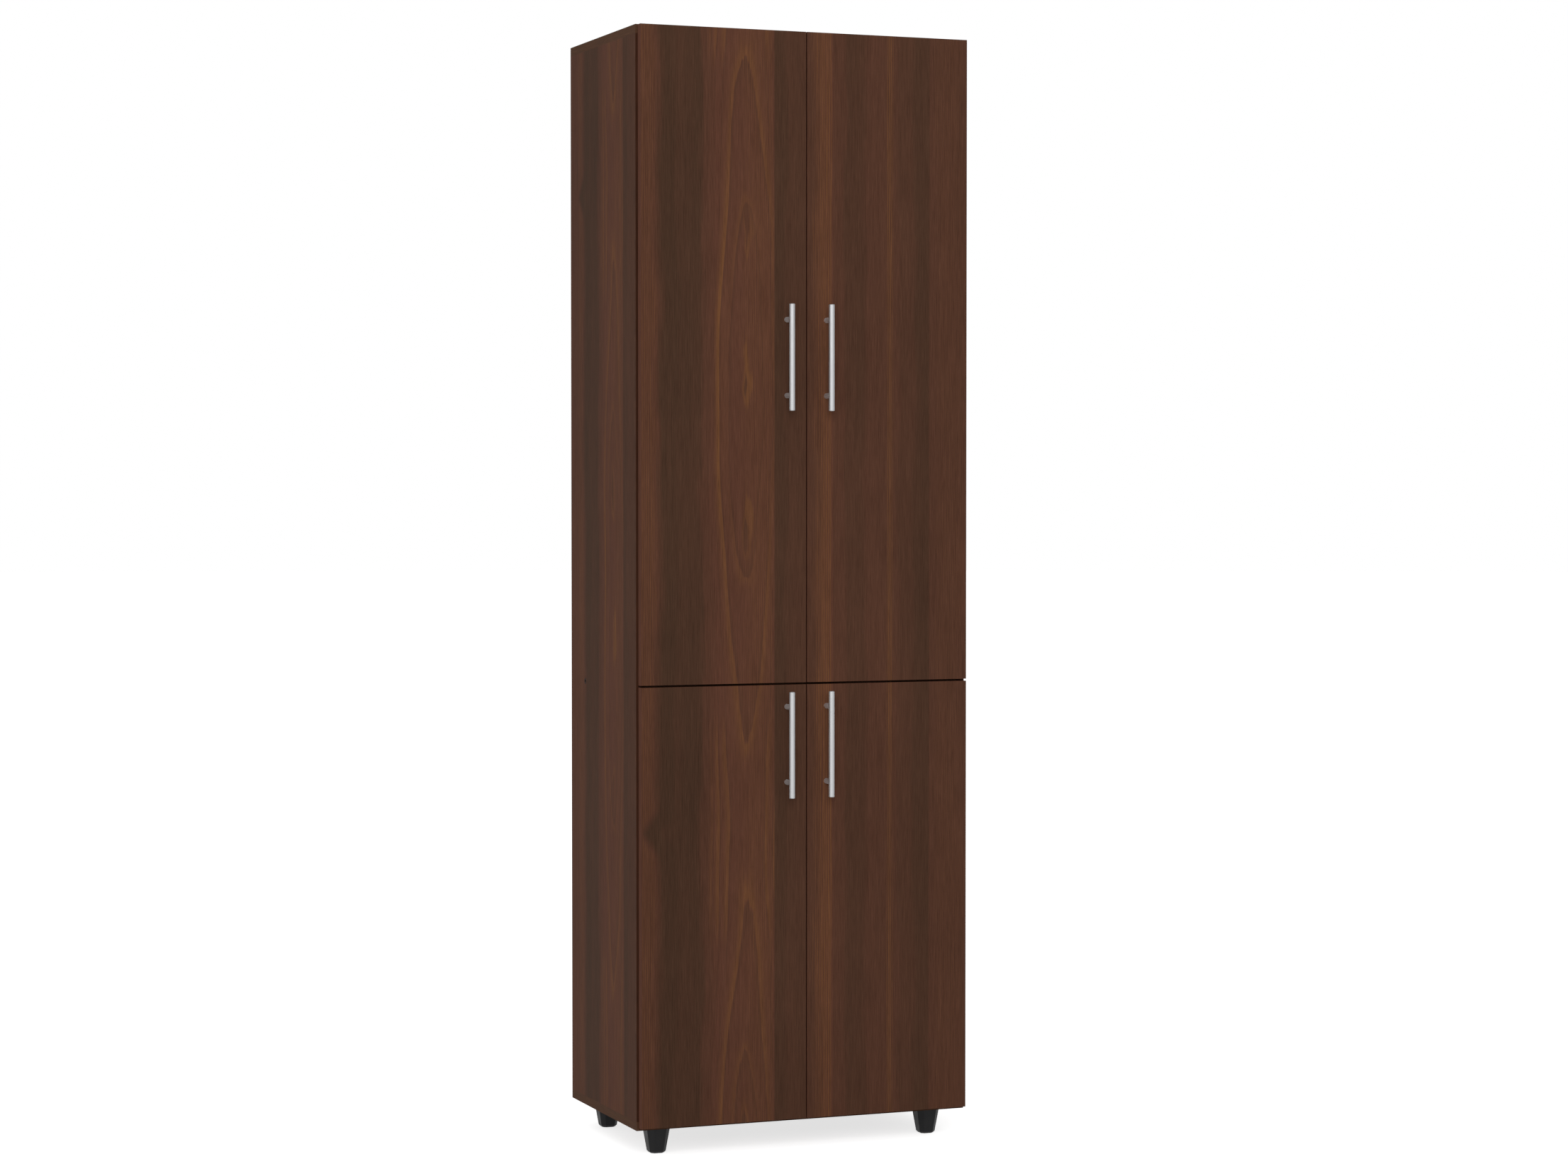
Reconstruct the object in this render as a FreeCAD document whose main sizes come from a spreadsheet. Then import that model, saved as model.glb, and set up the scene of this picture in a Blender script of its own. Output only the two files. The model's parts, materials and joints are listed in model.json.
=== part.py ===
"""Tall two-storey wardrobe of laminated board with four hinged doors.

The carcass front faces -Y, +X is to the right seen from the front and +Z is up. The origin lies on the
floor, under the middle of the wardrobe's box. All lengths are millimetres.
"""
import FreeCAD, Part
import os
import re
from math import cos, pi, sin

import Sketcher
from FreeCAD import Placement, Rotation, Vector

SIZES = {
    # Carcass of boards: the top and bottom panels run over the ends of the sides.
    "carcass_width": 600,
    "carcass_height": 1848,
    "panel_depth": 347,
    "board": 15,
    "back_thickness": 3,
    "back_inset": 1,
    "shelf_level": 741.5,
    # Doors, with the reveals and gaps around them.
    "door_thickness": 15,
    "door_gap": 2,
    "side_reveal": 3,
    "top_reveal": 1,
    "bottom_reveal": 5,
    "centre_gap": 2,
    "split_level": 746.25,
    "split_gap": 3.5,
    "door_chamfer": 1,
    "door_round": 0.6,
    # Bar handles on two posts.
    "bar_diameter": 10,
    "bar_length": 180,
    "bar_chamfer": 0.8,
    "bar_standoff": 24,
    "post_pitch": 128,
    "post_diameter": 9,
    "spigot_diameter": 5,
    "spigot_depth": 4,
    "handle_inset": 36,
    "lower_handle_drop": 101,
    # Tapered octagonal feet.
    "foot_height": 47,
    "foot_top": 42.6,
    "foot_top_flat": 24,
    "foot_tip": 28.4,
    "foot_tip_flat": 16,
    "foot_bevel": 3,
    "foot_bore": 14,
    "foot_web": 7,
    "foot_side_inset": 51,
    "foot_end_inset": 46.5,
    # Cup hinges: u runs inwards from the outer face of a side, v forwards from the carcass front.
    "hinge_end": 100,
    "cup_margin": 3.1,
    "cup_radius": 17.4,
    "cup_wall": 0.8,
    "cup_depth": 11.8,
    "cup_flange": 1,
    "cup_flange_start": 6,
    "cup_flange_half": 14,
    "cup_flange_lap": 2,
    "cup_lug_gap": 0.5,
    "cup_lug_thickness": 2.4,
    "cup_lug_outer": 1.8,
    "cup_lug_inner": 2.4,
    "cup_bore_clearance": 0.1,
    "cup_bore_spare": 0.4,
    "cup_ear_margin": 5.5,
    "cup_ear_width": 11.2,
    "cup_screw_offset": 9,
    "cup_screw_spread": 22.5,
    "pivot_inset": 6.6,
    "pivot_depth": 8.5,
    "pin_radius": 1.2,
    "pin_fit": 0.05,
    "eye_wall": 0.9,
    "hook_width": 6,
    "arm_thickness": 1.8,
    "arm_start": 8,
    "arm_reach": 60,
    "arm_cheek": 1.2,
    "arm_cheek_gap": 0.2,
    "arm_screw_place": 49,
    "plate_rise": 4.4,
    "plate_wing": 2.2,
    "plate_line": 37,
    "plate_wing_depth": 14,
    "plate_wing_span": 43,
    "plate_rail_width": 10,
    "plate_rail_front": 20,
    "plate_rail_back": 58,
    "plate_screw_pitch": 32,
    # Adjustable shelf on support pins.
    "lower_shelf_level": 372,
    "shelf_side_gap": 1,
    "shelf_setback": 22,
    "shelf_back_gap": 5,
    "pin_row_inset": 45,
    "pin_row_pitch": 32,
    "peg_diameter": 5,
    "peg_length": 8,
    "peg_drop": 3.2,
    "lug_reach": 9,
    "lug_width": 10,
    "lug_depth": 7,
    "lug_lip": 2,
    # Clothes rail from front to back under the top panel.
    "rail_diameter": 25,
    "rail_wall": 1.2,
    "rail_end_gap": 28.5,
    "rail_drop": 60,
    "rail_fit": 0.1,
    "bracket_thickness": 6,
    "bracket_ring": 5,
    "bracket_neck": 22,
    "bracket_end": 35,
    "flange_length": 64,
    "flange_depth": 20,
    "flange_thickness": 3,
    "flange_screw_pitch": 48,
    "cap_rim": 2.5,
    "cap_thickness": 3,
    "cap_plug": 10,
    # Fasteners.
    "drill_clearance": 0.1,
    "drill_spare": 0.6,
    "carcass_screw_head": 10,
    "carcass_screw_head_height": 2.5,
    "carcass_screw_neck": 7,
    "carcass_screw_thread": 5.4,
    "carcass_screw_length": 50,
    "carcass_screw_inset": 60,
    "shelf_screw_inset": 76.5,
    "dowel_diameter": 8,
    "dowel_shallow": 10,
    "dowel_deep": 20,
    "dowel_inset": 110,
    "dowel_chamfer": 1,
    "wood_screw": 4,
    "wood_screw_head": 8,
    "wood_screw_head_height": 2,
    "screw_bite": 11,
    "plate_screw": 5,
    "plate_screw_head": 7.6,
    "plate_screw_head_height": 1.6,
    "arm_screw": 3.5,
    "arm_screw_head": 7,
    "arm_screw_head_height": 1.6,
    "arm_screw_spare": 1,
    "cup_screw": 3.4,
    "cup_screw_head": 6.4,
    "cup_screw_head_height": 1.2,
    "cup_screw_bite": 10,
    "handle_screw": 4,
    "handle_screw_head": 8,
    "handle_screw_head_height": 2.2,
    "handle_screw_bite": 8,
    "nail_diameter": 1.6,
    "nail_head": 3.4,
    "nail_head_height": 0.8,
    "nail_length": 18,
    "nail_end": 40,
    "nail_row_spread": 4,
    "nail_row_place": 100,
}

# Lengths and levels worked out from the driving sizes.
DERIVED = {
    "half_width": "carcass_width / 2",
    "proud_of_carcass": "door_gap + door_thickness + bar_standoff + bar_diameter / 2",
    "front": "(proud_of_carcass - panel_depth - back_thickness) / 2",
    "rear": "front + panel_depth",
    "underside": "foot_height",
    "roof": "foot_height + carcass_height",
    "inner_left": "board - half_width",
    "side_middle": "board / 2 - half_width",
    "shelf_middle": "foot_height + shelf_level",
    "door_back": "front - door_gap",
    "door_face": "door_back - door_thickness",
    "split": "foot_height + split_level",
    "upper_low": "split + split_gap / 2",
    "upper_high": "roof - top_reveal",
    "lower_low": "underside + bottom_reveal",
    "lower_high": "split - split_gap / 2",
    "upper_middle": "(upper_low + upper_high) / 2",
    "lower_grip": "lower_high - lower_handle_drop",
    "cup_u": "side_reveal + cup_margin + cup_radius",
    "cup_floor": "door_gap + cup_depth - cup_wall",
    "cup_ear": "cup_screw_spread + cup_ear_margin",
    "ear_middle": "cup_u + cup_screw_offset",
    "pivot_u": "side_reveal + pivot_inset",
    "pivot_v": "door_gap + pivot_depth",
    "eye_radius": "pin_radius + eye_wall",
    "lug_start": "hook_width / 2 + cup_lug_gap",
    "pin_length": "2 * (lug_start + cup_lug_thickness)",
    "hook_v": "pivot_v + eye_radius",
    "arm_in": "board + plate_rise",
    "arm_out": "arm_in + arm_thickness",
    "arm_width": "plate_rail_width + 2 * (arm_cheek + arm_cheek_gap)",
    "arm_screw_length": "arm_thickness + plate_rise - arm_screw_spare",
    "lower_shelf_underside": "underside + lower_shelf_level",
    "rail_level": "roof - board - rail_drop",
    "rail_front": "front + rail_end_gap",
    "rail_length": "panel_depth - 2 * rail_end_gap",
    "foot_x": "half_width - foot_side_inset",
}

# Turns that point a fastener's shank, which is modelled downwards, another way.
POINTING = {
    "down": Rotation(),
    "up": Rotation(Vector(1, 0, 0), 180),
    "forwards": Rotation(Vector(1, 0, 0), -90),
    "backwards": Rotation(Vector(1, 0, 0), 90),
    "left": Rotation(Vector(0, 1, 0), 90),
    "right": Rotation(Vector(0, 1, 0), -90),
}

doc = FreeCAD.newDocument("wardrobe")
sheet = doc.addObject("Spreadsheet::Sheet", "sizes")
for row, (alias, number) in enumerate(SIZES.items(), start=1):
    sheet.set(f"A{row}", alias)
    sheet.set(f"B{row}", str(number))
    sheet.setAlias(f"B{row}", alias)
doc.recompute()

nodes = []


def bound(text):
    """Expression for the document: derived names are spelled out and sizes point at the sheet."""
    def spell(match):
        word = match.group()
        return f"({bound(DERIVED[word])})" if word in DERIVED else f"sizes.{word}"
    return re.sub(r"[a-z]\w*", spell, text)


def bind(thing, **properties):
    """Bind named properties to expressions."""
    for name, text in properties.items():
        thing.setExpression(name, bound(text))
    return thing


def place(thing, x="0", y="0", z="0", pointing="down"):
    """Turn an object and bind its position."""
    thing.Placement = Placement(Vector(), POINTING[pointing])
    for axis, text in zip("xyz", (x, y, z)):
        thing.setExpression(f".Placement.Base.{axis}", bound(text))
    return thing


def node(thing, label):
    """Keep an object as a named piece of the wardrobe."""
    thing.Label = label
    nodes.append(thing)
    return thing


def new_body(name):
    return doc.addObject("PartDesign::Body", name)


def new_sketch(body, plane, name, offset=None):
    """Empty sketch on one of the body's origin planes, or at a bound distance from it."""
    sketch = body.newObject("Sketcher::SketchObject", name)
    support = next(item for item in body.Origin.OriginFeatures if item.Role == plane)
    sketch.AttachmentSupport = [(support, "")]
    sketch.MapMode = "FlatFace"
    if offset:
        sketch.setExpression(".AttachmentOffset.Base.z", bound(offset))
    return sketch


def fix_point(sketch, element, end, start, corner):
    """Bind a point of the sketch to an x and a y expression."""
    for kind, number, text in zip(("DistanceX", "DistanceY"), start, corner):
        index = sketch.addConstraint(Sketcher.Constraint(kind, -1, 1, element, end, number))
        sketch.setExpression(f"Constraints[{index}]", bound(text))


def outline(body, plane, name, corners, offset=None):
    """Closed outline of straight lines through bound corners."""
    sketch = new_sketch(body, plane, name, offset)
    count = len(corners)
    turns = [2 * pi * index / count for index in range(count)]
    starts = [(cos(turn), sin(turn)) for turn in turns]
    points = [Vector(x, y, 0) for x, y in starts]
    for index in range(count):
        sketch.addGeometry(Part.LineSegment(points[index], points[(index + 1) % count]))
    for index in range(count):
        sketch.addConstraint(Sketcher.Constraint("Coincident", index, 2, (index + 1) % count, 1))
        fix_point(sketch, index, 1, starts[index], corners[index])
    return sketch


def rectangle(body, plane, name, low, high, offset=None):
    (x0, y0), (x1, y1) = low, high
    return outline(body, plane, name, [(x0, y0), (x1, y0), (x1, y1), (x0, y1)], offset)


def discs(body, plane, name, centres, radius, offset=None):
    """One circle of a bound radius round each bound centre."""
    sketch = new_sketch(body, plane, name, offset)
    for index, centre in enumerate(centres):
        sketch.addGeometry(Part.Circle(Vector(index * 3, 0, 0), Vector(0, 0, 1), 1))
        fix_point(sketch, index, 3, (index * 3, 0), centre)
        size = sketch.addConstraint(Sketcher.Constraint("Radius", index, 1))
        sketch.setExpression(f"Constraints[{size}]", bound(radius))
    return sketch


def pad(body, sketch, length, both_ways=False):
    feature = bind(body.newObject("PartDesign::Pad", f"{sketch.Name}_pad"), Length=length)
    feature.Profile = sketch
    feature.SideType = "Symmetric" if both_ways else "One side"
    return feature


def pocket(body, sketch, length, both_ways=False, along_normal=False):
    feature = bind(body.newObject("PartDesign::Pocket", f"{sketch.Name}_pocket"), Length=length)
    feature.Profile = sketch
    feature.SideType = "Symmetric" if both_ways else "One side"
    feature.Reversed = along_normal
    return feature


def turned(name, profile):
    """Round piece about Z from a half profile of (radius, height) corners."""
    body = new_body(name)
    sketch = outline(body, "XZ_Plane", f"{name}_profile", profile)
    feature = body.newObject("PartDesign::Revolution", f"{name}_turn")
    feature.Profile = sketch
    feature.ReferenceAxis = (sketch, ["V_Axis"])
    feature.Angle = 360
    return body


def screw_form(name, shank, head, head_height, length):
    """Pan-head screw: the head stands on its seat at height 0 and the shank points down."""
    return turned(name, [
        ("0", head_height), (f"{head} / 2", head_height), (f"{head} / 2", "0"), (f"{shank} / 2", "0"),
        (f"{shank} / 2", f"-({length}) + {shank} / 2"), ("0", f"-({length})"),
    ])


def hole_form(name, shank, length):
    """Clearance hole for a shank, open above its seat."""
    radius = f"{shank} / 2 + drill_clearance"
    deep = f"-({length}) - drill_spare"
    return turned(name, [("0", "drill_spare"), (radius, "drill_spare"), (radius, deep), ("0", deep)])


def group(name, members):
    compound = doc.addObject("Part::Compound", name)
    compound.Links = members
    return compound


def copies(name, form, places):
    """Group of copies of a form, one at each (x, y, z, pointing)."""
    members = []
    for index, (x, y, z, pointing) in enumerate(places):
        link = doc.addObject("App::Link", f"{name}_{index}")
        link.LinkedObject = form
        members.append(place(link, x, y, z, pointing))
    return group(name, members)


def mirrored(name, source):
    """Copy on the other side of the wardrobe's middle plane."""
    copy = doc.addObject("Part::Mirroring", name)
    copy.Source = source
    copy.Normal = Vector(1, 0, 0)
    return copy


def both_sides(name, source):
    return group(name, [source, mirrored(f"{name}_right", source)])


def cut(name, base, tools):
    feature = doc.addObject("Part::Cut", name)
    feature.Base = base
    feature.Tool = group(f"{name}_tools", tools)
    return feature


def slab(name, low, high):
    """Board between two bound corners."""
    box = doc.addObject("Part::Box", name)
    for prop, low_text, high_text in zip(("Length", "Width", "Height"), low, high):
        box.setExpression(prop, bound(f"({high_text}) - ({low_text})"))
    return place(box, *low)


# Carcass screws and dowels, set out on the left and mirrored.
screw_profile = [
    ("0", "0"), ("carcass_screw_head / 2", "0"), ("carcass_screw_head / 2", "-carcass_screw_head_height"),
    ("carcass_screw_neck / 2", "-carcass_screw_head_height - (carcass_screw_head - carcass_screw_neck) / 2"),
    ("carcass_screw_neck / 2", "-board"), ("carcass_screw_thread / 2", "-board"),
    ("carcass_screw_thread / 2", "carcass_screw_thread / 2 - carcass_screw_length"),
    ("0", "-carcass_screw_length"),
]
carcass_screw = turned("carcass_screw", screw_profile)
wider = [(f"{radius} + drill_clearance", height) for radius, height in screw_profile[1:-1]]
carcass_screw_hole = turned("carcass_screw_hole", [
    ("0", "drill_spare"), (wider[0][0], "drill_spare"), *wider[1:-1],
    (wider[-1][0], "-carcass_screw_length - drill_spare"), ("0", "-carcass_screw_length - drill_spare"),
])
screw_places = [
    ("side_middle", y, z, pointing)
    for z, pointing in (("roof", "down"), ("underside", "up"))
    for y in ("front + carcass_screw_inset", "rear - carcass_screw_inset")
] + [("-half_width", "rear - shelf_screw_inset", "shelf_middle", "right")]
left_screws = copies("left_carcass_screws", carcass_screw, screw_places)
left_screw_holes = copies("left_carcass_screw_holes", carcass_screw_hole, screw_places)
carcass_screw_holes = both_sides("carcass_screw_holes", left_screw_holes)
node(both_sides("all_carcass_screws", left_screws), "carcass_screws")

dowel_radius = "dowel_diameter / 2"
dowel = turned("dowel", [
    ("0", "dowel_shallow"), (f"{dowel_radius} - dowel_chamfer", "dowel_shallow"),
    (dowel_radius, "dowel_shallow - dowel_chamfer"), (dowel_radius, "dowel_chamfer - dowel_deep"),
    (f"{dowel_radius} - dowel_chamfer", "-dowel_deep"), ("0", "-dowel_deep"),
])
dowel_hole_radius = f"{dowel_radius} + drill_clearance"
dowel_hole = turned("dowel_hole", [
    ("0", "dowel_shallow + drill_spare"), (dowel_hole_radius, "dowel_shallow + drill_spare"),
    (dowel_hole_radius, "-dowel_deep - drill_spare"), ("0", "-dowel_deep - drill_spare"),
])
dowel_places = [
    ("side_middle", y, z, pointing)
    for z, pointing in (("roof - board", "down"), ("underside + board", "up"))
    for y in ("front + dowel_inset", "rear - dowel_inset")
] + [("inner_left", "front + dowel_inset", "shelf_middle", "right")]
left_dowels = copies("left_dowels", dowel, dowel_places)
left_dowel_holes = copies("left_dowel_holes", dowel_hole, dowel_places)
dowel_holes = both_sides("dowel_holes", left_dowel_holes)
node(both_sides("all_dowels", left_dowels), "carcass_dowels")

# Nails of the back panels, driven forwards into the rear edges of the boards.
nail = turned("nail", [
    ("0", "0"), ("nail_head / 2", "0"), ("nail_head / 2", "-nail_head_height"),
    ("nail_diameter / 2", "-nail_head_height"), ("nail_diameter / 2", "nail_diameter - nail_length"),
    ("0", "-nail_length"),
])
nail_hole = turned("nail_hole", [
    ("0", "drill_spare"), ("nail_head / 2 + drill_clearance", "drill_spare"),
    ("nail_head / 2 + drill_clearance", "-nail_head_height"),
    ("nail_diameter / 2 + drill_clearance", "-nail_head_height"),
    ("nail_diameter / 2 + drill_clearance", "-nail_length - drill_spare"), ("0", "-nail_length - drill_spare"),
])
back_face = "rear + back_thickness"
UPPER_NAILS = 5
LOWER_NAILS = 3
upper_nail_levels = [
    f"shelf_middle + nail_end + {step} / {UPPER_NAILS - 1} * (roof - shelf_middle - 2 * nail_end)"
    for step in range(UPPER_NAILS)
]
lower_nail_levels = [
    f"underside + nail_end + {step} / {LOWER_NAILS - 1} * (shelf_level - 2 * nail_end)"
    for step in range(LOWER_NAILS)
]
row_nail_levels = [
    "roof - board / 2", "shelf_middle + nail_row_spread", "shelf_middle - nail_row_spread",
    "underside + board / 2",
]
nail_places = [("side_middle", back_face, z, "forwards") for z in upper_nail_levels + lower_nail_levels]
nail_places += [("-nail_row_place", back_face, z, "forwards") for z in row_nail_levels]
left_nails = copies("left_nails", nail, nail_places)
left_nail_holes = copies("left_nail_holes", nail_hole, nail_places)
nail_holes = both_sides("nail_holes", left_nail_holes)
node(both_sides("all_nails", left_nails), "back_nails")

# Adjustable shelf and the pins that carry it.
node(slab("shelf_board", ("inner_left + shelf_side_gap", "front + shelf_setback", "lower_shelf_underside"),
          ("-inner_left - shelf_side_gap", "rear - shelf_back_gap", "lower_shelf_underside + board")),
     "lower_shelf")
support = new_body("support")
pad(support, outline(support, "XZ_Plane", "lug", [
    ("0", "0"), ("lug_reach", "0"), ("lug_reach", "-lug_lip"), ("lug_lip", "-lug_depth"), ("0", "-lug_depth"),
]), "lug_width", both_ways=True)
peg = pad(support, discs(support, "YZ_Plane", "peg", [("0", "-peg_drop")], "peg_diameter / 2"), "peg_length")
peg.Reversed = True
pin_columns = ("front + shelf_setback + pin_row_inset", "rear - shelf_back_gap - pin_row_inset")
left_pins = copies("left_pins", support, [
    ("inner_left", y, "lower_shelf_underside", "down") for y in pin_columns
])
node(both_sides("all_pins", left_pins), "shelf_pins")
peg_hole = hole_form("peg_hole", "peg_diameter", "peg_length")
left_peg_holes = copies("left_peg_holes", peg_hole, [
    ("inner_left", y, f"lower_shelf_underside - peg_drop + {step} * pin_row_pitch", "left")
    for y in pin_columns for step in (-1, 0, 1)
])

# Hinge pieces, modelled round the corner where a side's outer face meets the carcass front.
cup_centre = ("cup_u", "0")
pivot = ("pivot_u", "-pivot_v")
cup_screw_places = [("ear_middle", f"{sign}cup_screw_spread") for sign in ("", "-")]

hinge_pin = new_body("hinge_pin")
pad(hinge_pin, discs(hinge_pin, "XY_Plane", "pin_end", [pivot], "pin_radius"), "pin_length", both_ways=True)

hinge_cup = new_body("hinge_cup")
pad(hinge_cup, discs(hinge_cup, "XZ_Plane", "cup_outside", [cup_centre], "cup_radius", "door_gap"), "cup_depth")
half_flange = [
    ("cup_u - cup_flange_start", "cup_flange_half"), ("ear_middle - cup_ear_width / 2", "cup_ear"),
    ("ear_middle + cup_ear_width / 2", "cup_ear"), ("cup_u + cup_radius + cup_flange_lap", "cup_flange_half"),
]
flange = half_flange + [(x, f"-{z}") for x, z in reversed(half_flange)]
pad(hinge_cup, outline(hinge_cup, "XZ_Plane", "cup_ears", flange, "door_gap - cup_flange"), "cup_flange")
pocket(hinge_cup, discs(hinge_cup, "XZ_Plane", "cup_hollow", [cup_centre], "cup_radius - cup_wall", "cup_floor"),
       "cup_depth + cup_flange")
for name, height in (("upper_lug", "lug_start"), ("lower_lug", "-pin_length / 2")):
    pad(hinge_cup, rectangle(hinge_cup, "XY_Plane", name,
                             ("pivot_u - cup_lug_outer", "-cup_floor - cup_wall / 2"),
                             ("pivot_u + cup_lug_inner", "cup_lug_inner - pivot_v"), height), "cup_lug_thickness")
pocket(hinge_cup, discs(hinge_cup, "XY_Plane", "cup_pin_hole", [pivot], "pin_radius + pin_fit"),
       "2 * pin_length", both_ways=True)
pocket(hinge_cup, discs(hinge_cup, "XZ_Plane", "cup_screw_holes", cup_screw_places,
                        "cup_screw / 2 + drill_clearance", "door_gap"), "2 * cup_flange", both_ways=True)

cup_bore = new_body("cup_bore")
pad(cup_bore, discs(cup_bore, "XZ_Plane", "cup_bore_end", [cup_centre], "cup_radius + cup_bore_clearance",
                    "door_gap - cup_flange"), "cup_depth + cup_flange + cup_bore_spare")

hinge_arm = new_body("hinge_arm")
pad(hinge_arm, discs(hinge_arm, "XY_Plane", "arm_eye", [pivot], "eye_radius"), "hook_width", both_ways=True)
pad(hinge_arm, outline(hinge_arm, "XY_Plane", "arm_hook", [
    ("pivot_u", "-hook_v"), ("arm_out", "-hook_v"), ("arm_out", "arm_reach"),
    ("arm_in", "arm_reach"), ("arm_in", "arm_thickness - hook_v"), ("pivot_u", "arm_thickness - hook_v"),
]), "hook_width", both_ways=True)
pad(hinge_arm, rectangle(hinge_arm, "XY_Plane", "arm_channel",
                         ("board + plate_wing + arm_cheek_gap", "arm_start"), ("arm_out", "arm_reach")),
    "arm_width", both_ways=True)
pocket(hinge_arm, rectangle(hinge_arm, "XY_Plane", "arm_channel_hollow",
                            ("board", "arm_start - arm_thickness"), ("arm_in", "arm_reach + arm_thickness")),
       "arm_width - 2 * arm_cheek", both_ways=True)
pocket(hinge_arm, discs(hinge_arm, "XY_Plane", "arm_bore", [pivot], "pin_radius + pin_fit"),
       "2 * hook_width", both_ways=True)
pocket(hinge_arm, discs(hinge_arm, "YZ_Plane", "arm_screw_hole", [("arm_screw_place", "0")],
                        "arm_screw / 2 + drill_clearance", "arm_out"), "2 * arm_thickness", both_ways=True)

hinge_plate = new_body("hinge_plate")
pad(hinge_plate, rectangle(hinge_plate, "YZ_Plane", "plate_wings",
                           ("plate_line - plate_wing_depth / 2", "-plate_wing_span / 2"),
                           ("plate_line + plate_wing_depth / 2", "plate_wing_span / 2"), "board"), "plate_wing")
pad(hinge_plate, rectangle(hinge_plate, "YZ_Plane", "plate_rail", ("plate_rail_front", "-plate_rail_width / 2"),
                           ("plate_rail_back", "plate_rail_width / 2"), "board"), "plate_rise")
pocket(hinge_plate, discs(hinge_plate, "YZ_Plane", "plate_screw_holes",
                          [("plate_line", f"{sign}plate_screw_pitch / 2") for sign in ("", "-")],
                          "plate_screw / 2 + drill_clearance", "board + plate_wing"), "2 * plate_wing")
pocket(hinge_plate, discs(hinge_plate, "YZ_Plane", "plate_clamp_hole", [("arm_screw_place", "0")],
                          "arm_screw / 2 + drill_clearance", "arm_in"), "2 * plate_rise")

plate_screw_length = "plate_wing + screw_bite"
plate_screw = screw_form("plate_screw", "plate_screw", "plate_screw_head", "plate_screw_head_height",
                         plate_screw_length)
plate_screw_hole = hole_form("plate_screw_hole", "plate_screw", plate_screw_length)
arm_screw = screw_form("arm_screw", "arm_screw", "arm_screw_head", "arm_screw_head_height", "arm_screw_length")
cup_screw_length = "cup_flange + cup_screw_bite"
cup_screw = screw_form("cup_screw", "cup_screw", "cup_screw_head", "cup_screw_head_height", cup_screw_length)
cup_screw_hole = hole_form("cup_screw_hole", "cup_screw", cup_screw_length)

# Handle pieces.
bar_radius = "bar_diameter / 2"
bar_form = turned("bar_form", [
    ("0", "-bar_length / 2"), (f"{bar_radius} - bar_chamfer", "-bar_length / 2"),
    (bar_radius, "bar_chamfer - bar_length / 2"), (bar_radius, "bar_length / 2 - bar_chamfer"),
    (f"{bar_radius} - bar_chamfer", "bar_length / 2"), ("0", "bar_length / 2"),
])
post_form = turned("post_form", [
    ("0", "0"), ("post_diameter / 2", "0"), ("post_diameter / 2", "bar_standoff"), ("0", "bar_standoff"),
])
spigot_base = f"bar_standoff - {bar_radius}"
spigot_hole = turned("spigot_hole", [
    ("0", f"{spigot_base} - drill_spare"), ("spigot_diameter / 2", f"{spigot_base} - drill_spare"),
    ("spigot_diameter / 2", f"{spigot_base} + spigot_depth"), ("0", f"{spigot_base} + spigot_depth"),
])
handle_screw_length = "door_thickness + handle_screw_bite"
handle_screw = screw_form("handle_screw", "handle_screw", "handle_screw_head", "handle_screw_head_height",
                          handle_screw_length)
handle_screw_hole = hole_form("handle_screw_hole", "handle_screw", handle_screw_length)


def edges_at(feature, y, upright_only=False):
    """Names of a feature's edges that lie at depth y."""
    names = []
    for index, edge in enumerate(feature.Shape.Edges, start=1):
        box = edge.BoundBox
        if abs(edge.CenterOfMass.y - y) < 1e-4 and (box.ZLength > box.XLength or not upright_only):
            names.append(f"Edge{index}")
    return names


def door_board(name, low, high):
    """Door board with rounded front edges and a chamfer down its two rear upright edges."""
    body = new_body(f"{name}_board")
    face = rectangle(body, "XZ_Plane", f"{name}_outline", ("side_reveal - half_width", low),
                     ("-centre_gap / 2", high), "-(door_back)")
    block = pad(body, face, "door_thickness")
    doc.recompute()
    depths = [vertex.Y for vertex in block.Shape.Vertexes]
    chamfer = bind(body.newObject("PartDesign::Chamfer", f"{name}_chamfer"), Size="door_chamfer")
    chamfer.Base = (block, edges_at(block, max(depths), upright_only=True))
    doc.recompute()
    fillet = bind(body.newObject("PartDesign::Fillet", f"{name}_round"), Radius="door_round")
    fillet.Base = (chamfer, edges_at(chamfer, min(depths)))
    return body


def hinge_row(name, form, levels, offsets=(("-half_width", "front", "0"),), pointing="down"):
    """A copy of a hinge piece at each hinge level."""
    places = [(x, y, f"{level} + ({z})", pointing) for level in levels for x, y, z in offsets]
    return copies(name, form, places)


storeys = {
    "upper": ("upper_low", "upper_high", "upper_middle",
              ("upper_low + hinge_end", "upper_middle", "upper_high - hinge_end")),
    "lower": ("lower_low", "lower_high", "lower_grip",
              ("lower_low + hinge_end", "lower_high - hinge_end")),
}
all_levels = [level for storey in storeys.values() for level in storey[3]]
cup_screw_offsets = [(f"{x} - half_width", "front - door_gap + cup_flange", z) for x, z in cup_screw_places]

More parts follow.
